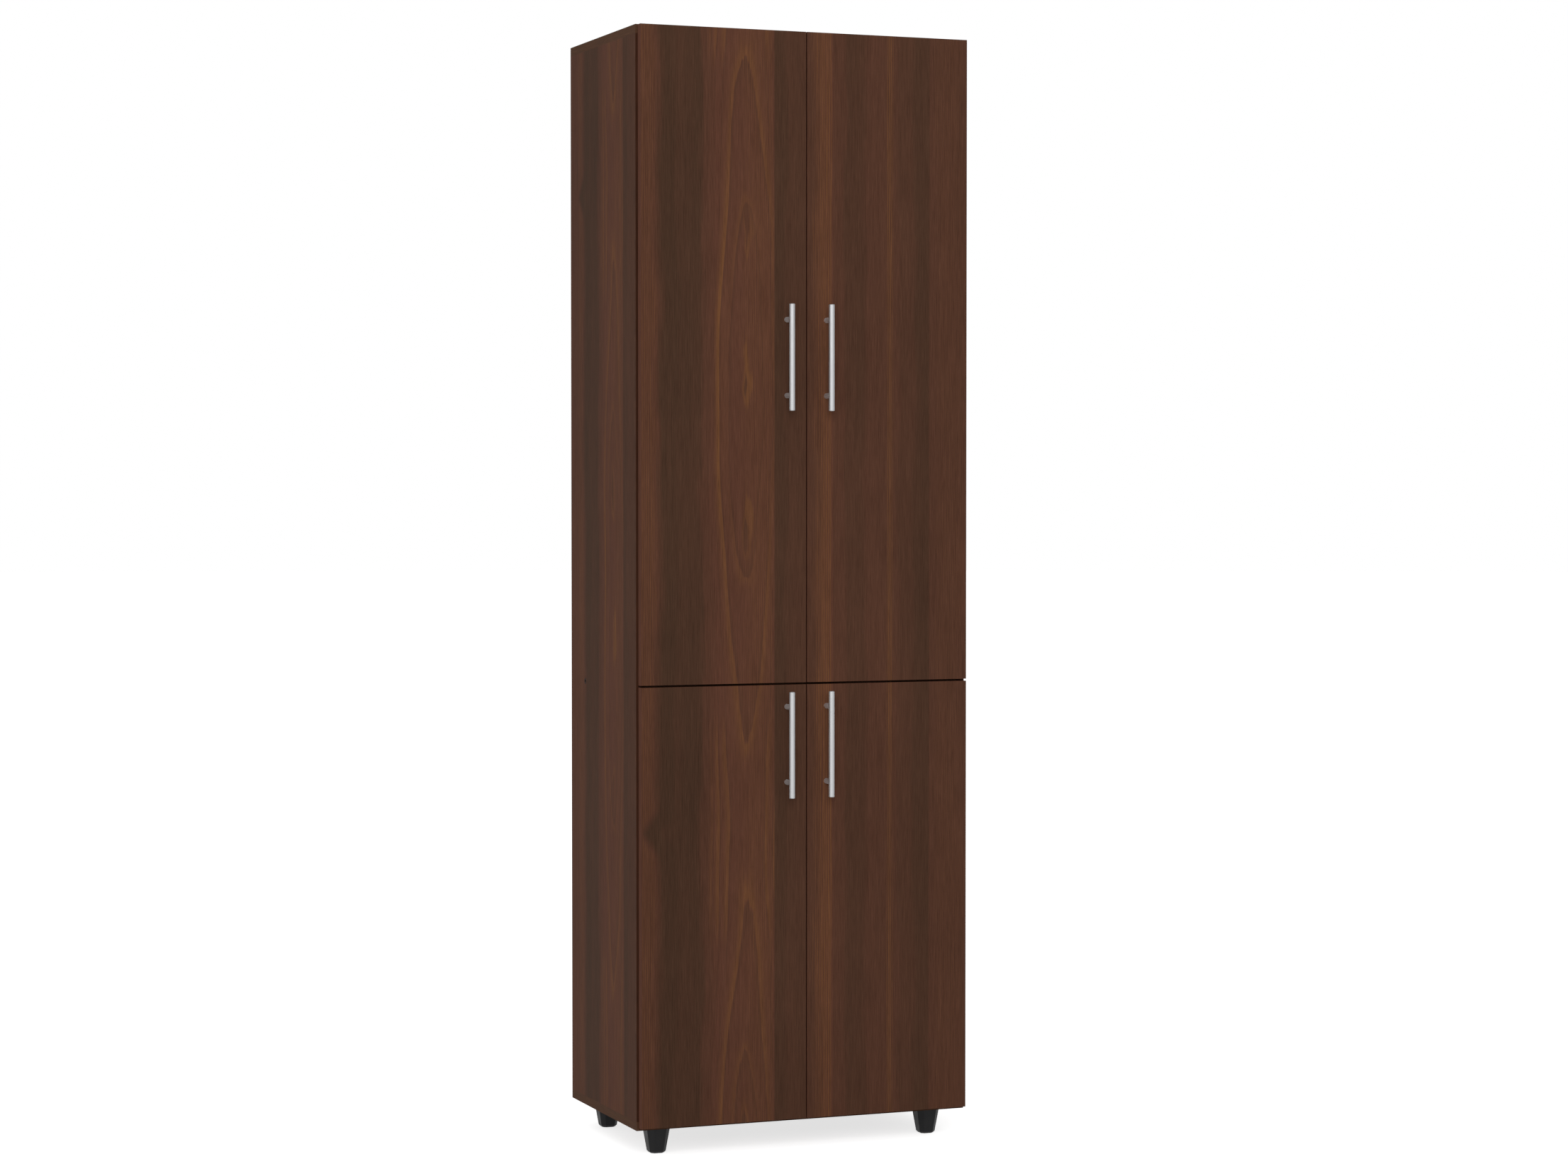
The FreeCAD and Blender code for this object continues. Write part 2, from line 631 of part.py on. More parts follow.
for storey, (low, high, grip, levels) in storeys.items():
    left = f"{storey}_left"
    handle_posts_at = [
        ("-handle_inset", "door_face", f"{grip} {sign} post_pitch / 2", "forwards") for sign in ("+", "-")
    ]
    handle_screws_at = [(x, "door_back", z, "forwards") for x, _, z, _ in handle_posts_at]
    post_ends_at = [(x, y, z, "backwards") for x, y, z, _ in handle_posts_at]
    screw_holes = copies(f"{left}_handle_screw_holes", handle_screw_hole, handle_screws_at)
    bar_place = [("-handle_inset", "door_face - bar_standoff", grip, "down")]
    bar = cut(f"{left}_bar", copies(f"{left}_bar_blank", bar_form, bar_place),
              [copies(f"{left}_spigot_holes", spigot_hole, post_ends_at)])
    pieces = {
        "door": cut(f"{left}_door_cut", door_board(left, low, high), [
            hinge_row(f"{left}_cup_bores", cup_bore, levels),
            hinge_row(f"{left}_cup_screw_holes", cup_screw_hole, levels, cup_screw_offsets, "forwards"),
            screw_holes,
        ]),
        "handle_bar": bar,
        "handle_posts": cut(f"{left}_posts", copies(f"{left}_post_blanks", post_form, post_ends_at),
                            [bar, screw_holes]),
        "handle_screws": copies(f"{left}_handle_screws", handle_screw, handle_screws_at),
        "hinge_cups": hinge_row(f"{left}_cups", hinge_cup, levels),
        "hinge_pins": hinge_row(f"{left}_pins_row", hinge_pin, levels),
        "cup_screws": hinge_row(f"{left}_cup_screws", cup_screw, levels, cup_screw_offsets, "forwards"),
    }
    for word, piece in pieces.items():
        node(piece, f"{left}_{word}")
        node(mirrored(f"{storey}_right_{word}_mirror", piece), f"{storey}_right_{word}")

plate_screw_offsets = [
    ("inner_left + plate_wing", "front + plate_line", f"{sign}plate_screw_pitch / 2") for sign in ("", "-")
]
left_hinge_fittings = {
    "hinge_arms": hinge_row("left_arms", hinge_arm, all_levels),
    "hinge_plates": hinge_row("left_plates", hinge_plate, all_levels),
    "arm_screws": hinge_row("left_arm_screws", arm_screw, all_levels,
                            [("arm_out - half_width", "front + arm_screw_place", "0")], "left"),
    "plate_screws": hinge_row("left_plate_screws", plate_screw, all_levels, plate_screw_offsets, "left"),
}
for word, piece in left_hinge_fittings.items():
    node(piece, f"left_{word}")
    node(mirrored(f"right_{word}_mirror", piece), f"right_{word}")
left_plate_screw_holes = hinge_row("left_plate_screw_holes", plate_screw_hole, all_levels, plate_screw_offsets,
                                   "left")

# Clothes rail, its two drop brackets, end caps and screws.
rail_radius = "rail_diameter / 2"
rail_inside = f"{rail_radius} - rail_wall"
rail = turned("rail", [(rail_inside, "0"), (rail_radius, "0"), (rail_radius, "rail_length"),
                       (rail_inside, "rail_length")])
node(place(rail, "0", "rail_front", "rail_level", "forwards"), "clothes_rail")
cap_radius = f"{rail_radius} + cap_rim"
plug_radius = f"{rail_inside} - drill_clearance"
cap = turned("cap", [("0", "cap_thickness"), (cap_radius, "cap_thickness"), (cap_radius, "0"),
                     (plug_radius, "0"), (plug_radius, "-cap_plug"), ("0", "-cap_plug")])
node(copies("caps", cap, [("0", "rail_front", "rail_level", "backwards"),
                          ("0", "rail_front + rail_length", "rail_level", "forwards")]), "rail_caps")
bracket_ys = {
    "front_rail_bracket": "rail_front + bracket_end",
    "rear_rail_bracket": "rail_front + rail_length - bracket_end",
}
rail_screw_places = []
for label, y in bracket_ys.items():
    bracket = new_body(f"{label}_form")
    ring = discs(bracket, "XZ_Plane", f"{label}_ring", [("0", "0")], f"{rail_radius} + bracket_ring")
    pad(bracket, ring, "bracket_thickness", both_ways=True)
    pad(bracket, rectangle(bracket, "XZ_Plane", f"{label}_neck", ("-bracket_neck / 2", "0"),
                           ("bracket_neck / 2", "rail_drop")), "bracket_thickness", both_ways=True)
    pad(bracket, rectangle(bracket, "XZ_Plane", f"{label}_flange", ("-flange_length / 2", "rail_drop - flange_thickness"),
                           ("flange_length / 2", "rail_drop")), "flange_depth", both_ways=True)
    pocket(bracket, discs(bracket, "XZ_Plane", f"{label}_bore", [("0", "0")], f"{rail_radius} + rail_fit"),
           "2 * bracket_thickness", both_ways=True)
    pocket(bracket, discs(bracket, "XY_Plane", f"{label}_screw_holes",
                          [(f"{sign}flange_screw_pitch / 2", "0") for sign in ("", "-")],
                          "wood_screw / 2 + drill_clearance", "rail_drop"), "2 * flange_thickness")
    node(place(bracket, "0", y, "rail_level"), label)
    rail_screw_places += [
        (f"{sign}flange_screw_pitch / 2", y, "roof - board - flange_thickness", "up") for sign in ("", "-")
    ]
rail_screw_length = "flange_thickness + screw_bite"
rail_screw = screw_form("rail_screw", "wood_screw", "wood_screw_head", "wood_screw_head_height", rail_screw_length)
node(copies("bracket_screws", rail_screw, rail_screw_places), "rail_screws")
rail_screw_holes = copies("rail_screw_holes", hole_form("rail_screw_hole", "wood_screw", rail_screw_length),
                          rail_screw_places)


def octagon(body, name, across, flat, offset=None):
    """Octagon with four broad flats, across flats wide."""
    corners = []
    for sx, sy in (("", ""), ("-", ""), ("-", "-"), ("", "-")):
        side = (f"{sx}({across}) / 2", f"{sy}({flat}) / 2")
        end = (f"{sx}({flat}) / 2", f"{sy}({across}) / 2")
        corners += [side, end] if sx == sy else [end, side]
    return outline(body, "XY_Plane", name, corners, offset)


# Feet: a ruled taper with a bevelled tip, bored from below for its screw.
foot = new_body("foot_form")
taper = foot.newObject("PartDesign::AdditiveLoft", "foot_taper")
taper.Profile = octagon(foot, "foot_ground", "foot_tip - 2 * foot_bevel", "foot_tip_flat - foot_bevel")
taper.Sections = [octagon(foot, "foot_tip_section", "foot_tip", "foot_tip_flat", "foot_bevel"),
                  octagon(foot, "foot_top_section", "foot_top", "foot_top_flat", "foot_height")]
taper.Ruled = True
pocket(foot, discs(foot, "XY_Plane", "foot_bore_end", [("0", "0")], "foot_bore / 2"),
       "foot_height - foot_web", along_normal=True)
pocket(foot, discs(foot, "XY_Plane", "foot_screw_bore", [("0", "0")], "wood_screw / 2 + drill_clearance"),
       "2 * foot_height", along_normal=True)
foot_ys = {"front": "front + foot_end_inset", "rear": "rear + back_thickness - foot_end_inset"}
foot_screw_length = "foot_web + screw_bite"
foot_screw = screw_form("foot_screw", "wood_screw", "wood_screw_head", "wood_screw_head_height", foot_screw_length)
foot_screw_hole = hole_form("foot_screw_hole", "wood_screw", foot_screw_length)
left_foot_screws_at = [("-(foot_x)", y, "foot_height - foot_web", "up") for y in foot_ys.values()]
foot_screw_holes = both_sides("foot_screw_holes",
                              copies("left_foot_screw_holes", foot_screw_hole, left_foot_screws_at))
node(both_sides("all_foot_screws", copies("left_foot_screws", foot_screw, left_foot_screws_at)), "foot_screws")
for end, y in foot_ys.items():
    left_foot = node(copies(f"{end}_left_foot_set", foot, [("-(foot_x)", y, "0", "down")]), f"{end}_left_foot")
    node(mirrored(f"{end}_right_foot_mirror", left_foot), f"{end}_right_foot")

# Boards, drilled for everything that fastens to them.
left_side = cut("left_side_cut", slab("side_board", ("-half_width", "front", "underside + board"),
                                      ("inner_left", "rear", "roof - board")),
                [left_screw_holes, left_dowel_holes, left_nail_holes, left_peg_holes, left_plate_screw_holes])
node(left_side, "left_side")
node(mirrored("right_side_mirror", left_side), "right_side")
node(cut("top_cut", slab("top_board", ("-half_width", "front", "roof - board"), ("half_width", "rear", "roof")),
         [carcass_screw_holes, dowel_holes, nail_holes, rail_screw_holes]), "top_panel")
node(cut("bottom_cut", slab("bottom_board", ("-half_width", "front", "underside"),
                            ("half_width", "rear", "underside + board")),
         [carcass_screw_holes, dowel_holes, nail_holes, foot_screw_holes]), "bottom_panel")
node(cut("shelf_cut", slab("fixed_shelf_board", ("inner_left", "front", "shelf_middle - board / 2"),
                           ("-(inner_left)", "rear", "shelf_middle + board / 2")),
         [carcass_screw_holes, dowel_holes, nail_holes]), "fixed_shelf")
back_levels = {
    "upper_back": ("shelf_middle", "roof - back_inset"),
    "lower_back": ("underside + back_inset", "shelf_middle"),
}
for label, (low, high) in back_levels.items():
    sheet_board = slab(f"{label}_sheet", ("back_inset - half_width", "rear", low),
                       ("half_width - back_inset", back_face, high))
    node(cut(f"{label}_cut", sheet_board, [nail_holes]), label)

doc.recompute()

faulty = [item.Label for item in doc.Objects if {"Invalid", "Error"} & set(item.State)]
faulty += [item.Label for item in nodes if item.Shape.isNull() or not item.Shape.isValid()]
if faulty:
    raise RuntimeError(f"these pieces failed: {sorted(set(faulty))}")

os.makedirs("parts", exist_ok=True)
for item in nodes:
    solids = item.Shape.Solids
    shape = solids[0] if len(solids) == 1 else Part.makeCompound(solids)
    shape.exportStep(f"parts/{item.Label}.step")
print(f"{len(nodes)} nodes, {sum(len(item.Shape.Solids) for item in nodes)} solids")
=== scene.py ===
# %% [markdown]
# # A tall wardrobe in dark walnut print
# The wardrobe is a carcass of 15 mm laminated board with four doors on cup hinges, bar handles and black
# plastic feet. Its pieces come from CAD at their real size and stay where they are. This lesson gives
# every piece the finish of the real one, and builds in mesh what a solid model leaves out, the drives of
# the screws.

# %% Load the wardrobe
import json
import math

import bmesh
import bpy
from mathutils import Matrix, Vector

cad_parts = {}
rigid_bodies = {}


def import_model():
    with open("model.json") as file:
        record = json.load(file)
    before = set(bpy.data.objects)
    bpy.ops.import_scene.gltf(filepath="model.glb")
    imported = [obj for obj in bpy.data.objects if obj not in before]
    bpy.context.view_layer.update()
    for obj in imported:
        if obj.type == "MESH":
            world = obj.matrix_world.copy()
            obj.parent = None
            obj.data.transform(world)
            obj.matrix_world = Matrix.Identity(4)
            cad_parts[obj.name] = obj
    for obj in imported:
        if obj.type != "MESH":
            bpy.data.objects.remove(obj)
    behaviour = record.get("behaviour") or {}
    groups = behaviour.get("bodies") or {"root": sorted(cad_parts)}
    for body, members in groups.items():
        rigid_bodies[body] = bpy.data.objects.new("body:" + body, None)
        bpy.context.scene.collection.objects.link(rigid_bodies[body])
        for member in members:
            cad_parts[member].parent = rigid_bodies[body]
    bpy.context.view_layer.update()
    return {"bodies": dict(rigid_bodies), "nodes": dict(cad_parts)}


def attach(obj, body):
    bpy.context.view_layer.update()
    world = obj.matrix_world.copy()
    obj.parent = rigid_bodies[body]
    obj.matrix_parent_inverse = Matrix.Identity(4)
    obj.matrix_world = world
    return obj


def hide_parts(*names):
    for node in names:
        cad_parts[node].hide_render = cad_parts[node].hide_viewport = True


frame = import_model()
nodes = frame["nodes"]

# %% [markdown]
# ## The viewpoint
# A picture of furniture is taken from far away with a long lens, so that its upright edges stay upright.
# The eye stands left of the wardrobe at a little over a metre, and tips down by less than two degrees. A
# lens shift would keep the edges exactly parallel, but it would push the wardrobe off centre from every
# other side.

# %% Camera
EYE = Vector((-2.2008, -5.6496, 1.1301))
TURN_RIGHT, TIP_DOWN = 21.506, 1.698
LENS, SENSOR = 80.01, 36.0

lens = bpy.data.cameras.new("viewpoint")
lens.lens = LENS
lens.sensor_width = SENSOR
viewpoint = bpy.data.objects.new("viewpoint", lens)
viewpoint.location = EYE
viewpoint.rotation_euler = (math.radians(90 - TIP_DOWN), 0, math.radians(-TURN_RIGHT))
bpy.context.scene.collection.objects.link(viewpoint)
bpy.context.scene.camera = viewpoint
bpy.context.scene.view_settings.view_transform = "Standard"
print("viewpoint at", tuple(round(value, 2) for value in EYE), "with a", LENS, "mm lens")

# %% [markdown]
# ## A short way to write shader nodes
# A material is a flow chart of nodes. Wiring one by hand takes three lines a node, so these helpers add a
# node, fill its sockets and join it up in one call. A socket's value may be a number, a colour or another
# node's output.

# %% Adding nodes
def fill(tree, inputs, sockets):
    """Sets each named socket to a value, or wires another node's output to it."""
    for name, value in sockets.items():
        if isinstance(value, bpy.types.NodeSocket):
            tree.links.new(value, inputs[name])
        else:
            inputs[name].default_value = value


def add_node(tree, kind, sockets=None, **settings):
    """Adds one shader node to a tree and fills its sockets."""
    node = tree.nodes.new("ShaderNode" + kind)
    for name, value in settings.items():
        setattr(node, name, value)
    fill(tree, node.inputs, sockets or {})
    return node


print("helpers for nodes: fill, add_node")

# %% Sums and products
def reckon(tree, operation, *values, clamp=False):
    """The output of one Math node."""
    sockets = dict(enumerate(values))
    return add_node(tree, "Math", sockets, operation=operation, use_clamp=clamp).outputs[0]


def total(tree, first, *others):
    """The sum of several values."""
    for value in others:
        first = reckon(tree, "ADD", first, value)
    return first


def product(tree, first, *others):
    """Several values multiplied."""
    for value in others:
        first = reckon(tree, "MULTIPLY", first, value)
    return first


print("helpers for sums: reckon, total, product")

# %% Mixes, steps and paint
def between(tree, amount, first, second):
    """A value that goes from the first to the second as the amount goes from 0 to 1."""
    return add_node(tree, "Mix", {0: amount, 2: first, 3: second}, data_type="FLOAT").outputs[0]


def tint(tree, amount, first, second, way="MIX"):
    """A colour mixed from two."""
    sockets = {0: amount, 6: first, 7: second}
    return add_node(tree, "Mix", sockets, data_type="RGBA", blend_type=way).outputs[2]


def rise(tree, value, edge, soft):
    """0 below the edge and 1 above it, with a smooth step that reaches as far as soft on each side."""
    sockets = {"Value": value, "From Min": edge - soft, "From Max": edge + soft}
    return add_node(tree, "MapRange", sockets, interpolation_type="SMOOTHSTEP").outputs[0]


def fall(tree, value, edge, soft):
    """The other way round: 1 below the edge and 0 above it."""
    return reckon(tree, "SUBTRACT", 1.0, rise(tree, value, edge, soft))


def paint(red, green, blue):
    """A colour as a picture gives it, from 0 to 255, turned into the light that Blender counts in."""
    parts = [value / 255 for value in (red, green, blue)]
    return (*[part / 12.92 if part < 0.04045 else ((part + 0.055) / 1.055) ** 2.4 for part in parts], 1)


print("mid grey paint is", round(paint(128, 128, 128)[0], 3), "in linear light")

# %% [markdown]
# ## The studio
# Furniture is shown on white. The floor is a plain pale disc, and a floor that was only lit would turn
# grey towards the horizon. So it also glows, but only for rays that come straight from the eye or by way
# of a shiny surface: those see white, the wardrobe gets no extra light, and its shadow under the feet
# stays. The sky does the same.

# %% What the eye sees directly, and an empty finish
def seen_directly(tree):
    """1 for rays from the eye, from shiny surfaces and through clear ones, and 0 for the light of a room."""
    path = add_node(tree, "LightPath").outputs
    shiny = reckon(tree, "MAXIMUM", path["Is Glossy Ray"], path["Is Transmission Ray"])
    return reckon(tree, "MAXIMUM", path["Is Camera Ray"], shiny)


def new_finish(name):
    """An empty material, its tree and the sockets of its main shader, which is joined to the output."""
    finish = bpy.data.materials.new(name)
    finish.use_nodes = True
    finish.node_tree.nodes.clear()
    shader = add_node(finish.node_tree, "BsdfPrincipled")
    add_node(finish.node_tree, "OutputMaterial", {"Surface": shader.outputs[0]})
    return finish, finish.node_tree, shader.inputs


print("helpers for finishes: seen_directly, new_finish")

# %% White floor
FLOOR_RADIUS, FLOOR_CORNERS = 40.0, 96
FLOOR_PAINT = (0.8, 0.8, 0.8, 1)
FLOOR_GLOW = 0.72
WHITE = (1, 1, 1, 1)

disc = bmesh.new()
bmesh.ops.create_circle(disc, cap_ends=True, segments=FLOOR_CORNERS, radius=FLOOR_RADIUS)
floor_mesh = bpy.data.meshes.new("studio_floor")
disc.to_mesh(floor_mesh)
disc.free()
floor = bpy.data.objects.new("studio_floor", floor_mesh)
bpy.context.scene.collection.objects.link(floor)

floor_finish, tree, shader = new_finish("studio_floor")
fill(tree, shader, {
    "Base Color": FLOOR_PAINT, "Roughness": 1.0, "Specular IOR Level": 0.0, "Emission Color": WHITE,
    "Emission Strength": reckon(tree, "MULTIPLY", seen_directly(tree), FLOOR_GLOW)})
floor_mesh.materials.append(floor_finish)
print("floor of", 2 * FLOOR_RADIUS, "m")

# %% White sky
SKY_FILL = 0.5

sky = bpy.data.worlds.new("studio_sky")
bpy.context.scene.world = sky
sky.use_nodes = True
tree = sky.node_tree
tree.nodes.clear()
strength = between(tree, seen_directly(tree), SKY_FILL, 1.0)
light = add_node(tree, "Background", {"Color": WHITE, "Strength": strength})
add_node(tree, "OutputWorld", {"Surface": light.outputs[0]})
print("sky fill", SKY_FILL)

# %% [markdown]
# ## Lamps
# Large lamps give the soft, even light of a product picture. The main one hangs in front, high up and a
# little to the left, and a weaker one far on the left opens up the side. Together with the sky they light
# the doors at about the level where a colour comes out as it was written.

# %% Softboxes
AIM = Vector((0, 0, 0.95))
# Where each lamp hangs, the length of its sides in metres, and its power in watts.
LAMPS = {
    "front_softbox": ((-1.8, -5.4, 3.3), 3.2, 150),
    "left_softbox": ((-4.6, -1.5, 2.2), 2.6, 24),
}

for name, (place, size, watts) in LAMPS.items():
    lamp = bpy.data.lights.new(name, "AREA")
    lamp.shape = "SQUARE"
    lamp.size = size
    lamp.energy = watts
    holder = bpy.data.objects.new(name, lamp)
    holder.location = place
    holder.rotation_euler = (AIM - Vector(place)).to_track_quat("-Z", "Y").to_euler()
    bpy.context.scene.collection.objects.link(holder)
print("lamps:", sorted(LAMPS))

# %% [markdown]
# ## Walnut print
# The boards are faced with printed paper under clear resin. The print shows straight bands of reddish and
# dark brown, thin amber lines, and on the left doors and the sides a flame, where the saw cut the growth
# rings lengthways. A painted image would be the usual way. Here the bands are steps across the board, the
# rings are level lines of a bowl that rises and falls along it, and the fibres are noise stretched along
# the grain, so the print stays sharp anywhere.

# %% Colours and bands of the print
MM = 1000.0
REDDISH = paint(90, 57.3, 44.6)
DARK = paint(69, 49, 37)
AMBER = paint(105, 69, 44)

# Two veneers meet in a straight seam, this far across the sheet in mm.
SEAM, SEAM_SOFT = -58.6, 0.8
# Each dark band: its left edge, the softness of that edge, its right edge and the softness of that one, in
# mm across the sheet, and its strength.
DARK_BANDS = [
    (-400, 1, -262, 14, 0.28), (-268, 14, -218, 22, 0.95), (-264, 14, -186, 9, 0.84),
    (-200, 10, -168, 16, 0.4), (-190, 10, SEAM, SEAM_SOFT, 0.1), (SEAM, SEAM_SOFT, -26, 22, 0.8),
    (SEAM, SEAM_SOFT, -0.2, 0.2, 0.62), (-0.2, 0.2, 24, 16, 0.45), (48, 2, 400, 1, 0.36),
    (68, 8, 114, 14, 0.64), (164, 10, 228, 1.5, 0.55), (190, 16, 227, 1.5, 0.8)]
# Amber bands are given in the same way.
AMBER_BANDS = [
    (-297, 3, -274, 6, 0.4), (-110, 20, -61, 1, 0.3), (20, 16, 46, 1, 0.9),
    (149, 5, 157, 5, 0.9), (240, 10, 288, 8, 0.15)]
print("dark bands:", len(DARK_BANDS), "amber bands:", len(AMBER_BANDS))

# %% [markdown]
# The print is a shader group, a flow chart of its own that the materials of all boards share. Its streaks
# are noise whose spots are many times longer than wide: narrow ones look like fibres, hairs and pores,
# and broad ones become clouds of colour. One group means that a change to the print shows on every board.

# %% Helpers for shader groups and stretched noise
def new_group(name, inputs, outputs):
    """An empty shader group with named sockets: its tree, what is given to it and what it puts out."""
    group = bpy.data.node_groups.new(name, "ShaderNodeTree")
    for socket, kind in inputs.items():
        group.interface.new_socket(socket, in_out="INPUT", socket_type="NodeSocket" + kind)
    for socket, kind in outputs.items():
        group.interface.new_socket(socket, in_out="OUTPUT", socket_type="NodeSocket" + kind)
    return group, group.nodes.new("NodeGroupInput").outputs, group.nodes.new("NodeGroupOutput").inputs


def streaks(tree, across, along, width, length, detail=2.0, shift=0.0):
    """Noise from 0 to 1 whose spots are about as wide and as long as given."""
    place = add_node(tree, "CombineXYZ", {
        "X": reckon(tree, "DIVIDE", across, width), "Y": reckon(tree, "DIVIDE", along, length), "Z": shift})
    sockets = {"Vector": place.outputs[0], "Scale": 1.0, "Detail": detail}
    return add_node(tree, "TexNoise", sockets).outputs[0]


def swing(tree, noise, reach):
    """Turns noise from 0 to 1 into a sway of about as much each way."""
    return reckon(tree, "MULTIPLY", reckon(tree, "SUBTRACT", noise, 0.5), 2 * reach)


print("helpers for groups: new_group, streaks, swing")

# %% The walnut print as one shader group, with its noises
# Width and length of the spots in mm, their detail, and a shift that keeps two noises apart.
NOISES = {
    "fibre": (1.3, 70, 2.0, 0.0), "hair": (0.7, 20, 1.0, 7.3), "pore": (0.5, 16, 1.0, 4.4),
    "stripe": (5, 160, 2.0, 3.7), "mottle": (9, 70, 2.0, 5.9), "cloud": (30, 420, 2.0, 8.1),
    "fade": (160, 240, 2.0, 5.3), "sway": (160, 200, 2.0, 0.0), "wander": (11, 260, 1.0, 1.9),
    "bend": (40, 260, 0.0, 2.2), "ripple": (5, 70, 1.0, 7.9), "graze": (16, 75, 1.0, 6.1),
}

paper, given, result = new_group(
    "walnut_print",
    {"Across": "Float", "Along": "Float", "Plain": "Float", "Edging": "Color"},
    {"Colour": "Color", "Fibre": "Float", "Pores": "Float"})
across = reckon(paper, "MULTIPLY", given["Across"], MM)
along = reckon(paper, "MULTIPLY", given["Along"], MM)
figured = reckon(paper, "SUBTRACT", 1.0, given["Plain"])
noise = {name: streaks(paper, across, along, *size) for name, size in NOISES.items()}
print("noises:", ", ".join(noise))

# %% [markdown]
# A veneer's bands are never ruler straight. Their soft edges read a place that noise has pushed to and
# fro across the board; only the seams are straight. At one height a small knot drags a dark band out to
# the edge of the lower left door, and the wood around it is a little darker. The thin lines inside a band
# are a sine wave, one turn a year.

# %% The knot and the ragged edges
# How far the noises push a soft edge to and fro, in mm.
SWAY, STRIPE_SWAY = 17, 9
KNOT_HEIGHT = 548.0
# Half the height and its softness, then the right edge across the sheet and its softness, in mm.
KNOT, KNOT_SHADOW = (12, 34, -240, 20), (220, 320, -170, 30)
KNOT_PULL, KNOT_DARKNESS = 38.0, 0.10

from_knot = reckon(paper, "ABSOLUTE", reckon(paper, "SUBTRACT", along, KNOT_HEIGHT))


def near_knot(half_height, height_soft, right, right_soft):
    """1 near the height of the knot and left of a place across the sheet."""
    height_part = fall(paper, from_knot, half_height, height_soft)
    return product(paper, height_part, fall(paper, across, right, right_soft))


knot_shade = product(paper, near_knot(*KNOT_SHADOW), KNOT_DARKNESS)
sway = total(paper, swing(paper, noise["sway"], SWAY), swing(paper, noise["stripe"], STRIPE_SWAY))
ragged = total(paper, across, sway, product(paper, near_knot(*KNOT), KNOT_PULL))
print("knot at", KNOT_HEIGHT, "mm along the sheet")

# %% Dark and amber bands
# An edge that is softer than this, in mm, is also ragged.
SHARP = 5


def band_across(left, left_soft, right, right_soft):
    """1 inside a band of the sheet; a soft edge is also ragged, and a sharp one is straight."""
    start = rise(paper, ragged if left_soft > SHARP else across, left, left_soft)
    end = rise(paper, ragged if right_soft > SHARP else across, right, right_soft)
    return reckon(paper, "SUBTRACT", start, end, clamp=True)


def laid_over(bands):
    """Bands on top of each other: at each place the strongest one shows."""
    tone = 0.0
    for *edges, strength in bands:
        tone = reckon(paper, "MAXIMUM", tone, product(paper, band_across(*edges), strength))
    return tone


dark = laid_over(DARK_BANDS)
amber = laid_over(AMBER_BANDS)
print("bands made of", len(paper.nodes), "nodes")

# %% Year rings in the bands
YEAR, YEAR_WANDER = 3.6, 5.0
YEAR_EDGE, YEAR_SOFT = 0.1, 0.9
# How strong a tone is at the low end of the rings or of a noise, and at the high end.
AMBER_BY_RING, AMBER_BY_LENGTH = (-0.15, 1.2), (0.45, 1.4)
DARK_BY_RING, DARK_BY_CLOUD = (1.05, 0.93), (0.75, 1.25)

wander = swing(paper, noise["wander"], YEAR_WANDER)
years = reckon(paper, "MULTIPLY_ADD", across, 2 * math.pi / YEAR, wander)
year_rings = rise(paper, reckon(paper, "SINE", years), YEAR_EDGE, YEAR_SOFT)
amber_rings = between(paper, year_rings, *AMBER_BY_RING)
amber = product(paper, amber, amber_rings, between(paper, noise["fade"], *AMBER_BY_LENGTH))
dark_clouds = between(paper, noise["cloud"], *DARK_BY_CLOUD)
dark = product(paper, dark, dark_clouds, between(paper, year_rings, *DARK_BY_RING))
print("year rings every", YEAR, "mm")

# %% [markdown]
# The flame is drawn as the level lines of a bowl. Across the board the bowl is a parabola about the
# flame's middle; along the board a cosine lifts and lowers it once in a metre and a half. Where the
# bowl's floor is lifted above a level, the line of that level closes to a point, which makes the tall
# pointed arches; where it sinks, the lines bow apart and the flame stands open. Noise bends them.

# %% The bowl of the flame
FLAME_CENTRE, FLAME_SWAY, FLAME_SWAY_LENGTH = -109.0, 16, 420
FLAME_HALF_WIDTH = 32.4
FLAME_PERIOD, FLAME_SWELL = 1474.0, 1.195
RING_BEND, RING_RIPPLE = 0.45, 0.07
MAIN_RING, RINGS_A_LEVEL = 1.0, 0.8
# The flame counts as open where the floor of the bowl lies lower than this.
OPEN_BELOW, OPEN_SOFT = -0.5, 0.6

flame_sway = swing(paper, streaks(paper, 0.0, along, 1, FLAME_SWAY_LENGTH, detail=1.0), FLAME_SWAY)
from_middle = reckon(paper, "SUBTRACT", across, reckon(paper, "ADD", FLAME_CENTRE, flame_sway))
offset = reckon(paper, "DIVIDE", from_middle, FLAME_HALF_WIDTH)
flame_turn = product(paper, reckon(paper, "SUBTRACT", along, KNOT_HEIGHT), 2 * math.pi / FLAME_PERIOD)
lift = product(paper, reckon(paper, "COSINE", flame_turn), FLAME_SWELL)
bend = total(paper, swing(paper, noise["bend"], RING_BEND), swing(paper, noise["ripple"], RING_RIPPLE))
level = total(paper, product(paper, offset, offset), lift, bend)
rings = product(paper, reckon(paper, "SUBTRACT", level, MAIN_RING), RINGS_A_LEVEL)
since_ring = reckon(paper, "FRACT", rings)
opened = fall(paper, lift, OPEN_BELOW, OPEN_SOFT)
print("flame", 2 * FLAME_HALF_WIDTH, "mm wide, arches every", FLAME_PERIOD, "mm")

# %% [markdown]
# Each line is sharp on its inner side and fades on the outer one, as the late wood of a year does. Level
# lines lie far apart where the bowl is flat, so the distance from a line is divided by the slope, or the
# points of the arches would be blurred. Away from the arches only the main ring and the one inside it are
# drawn, the left side more than the right.

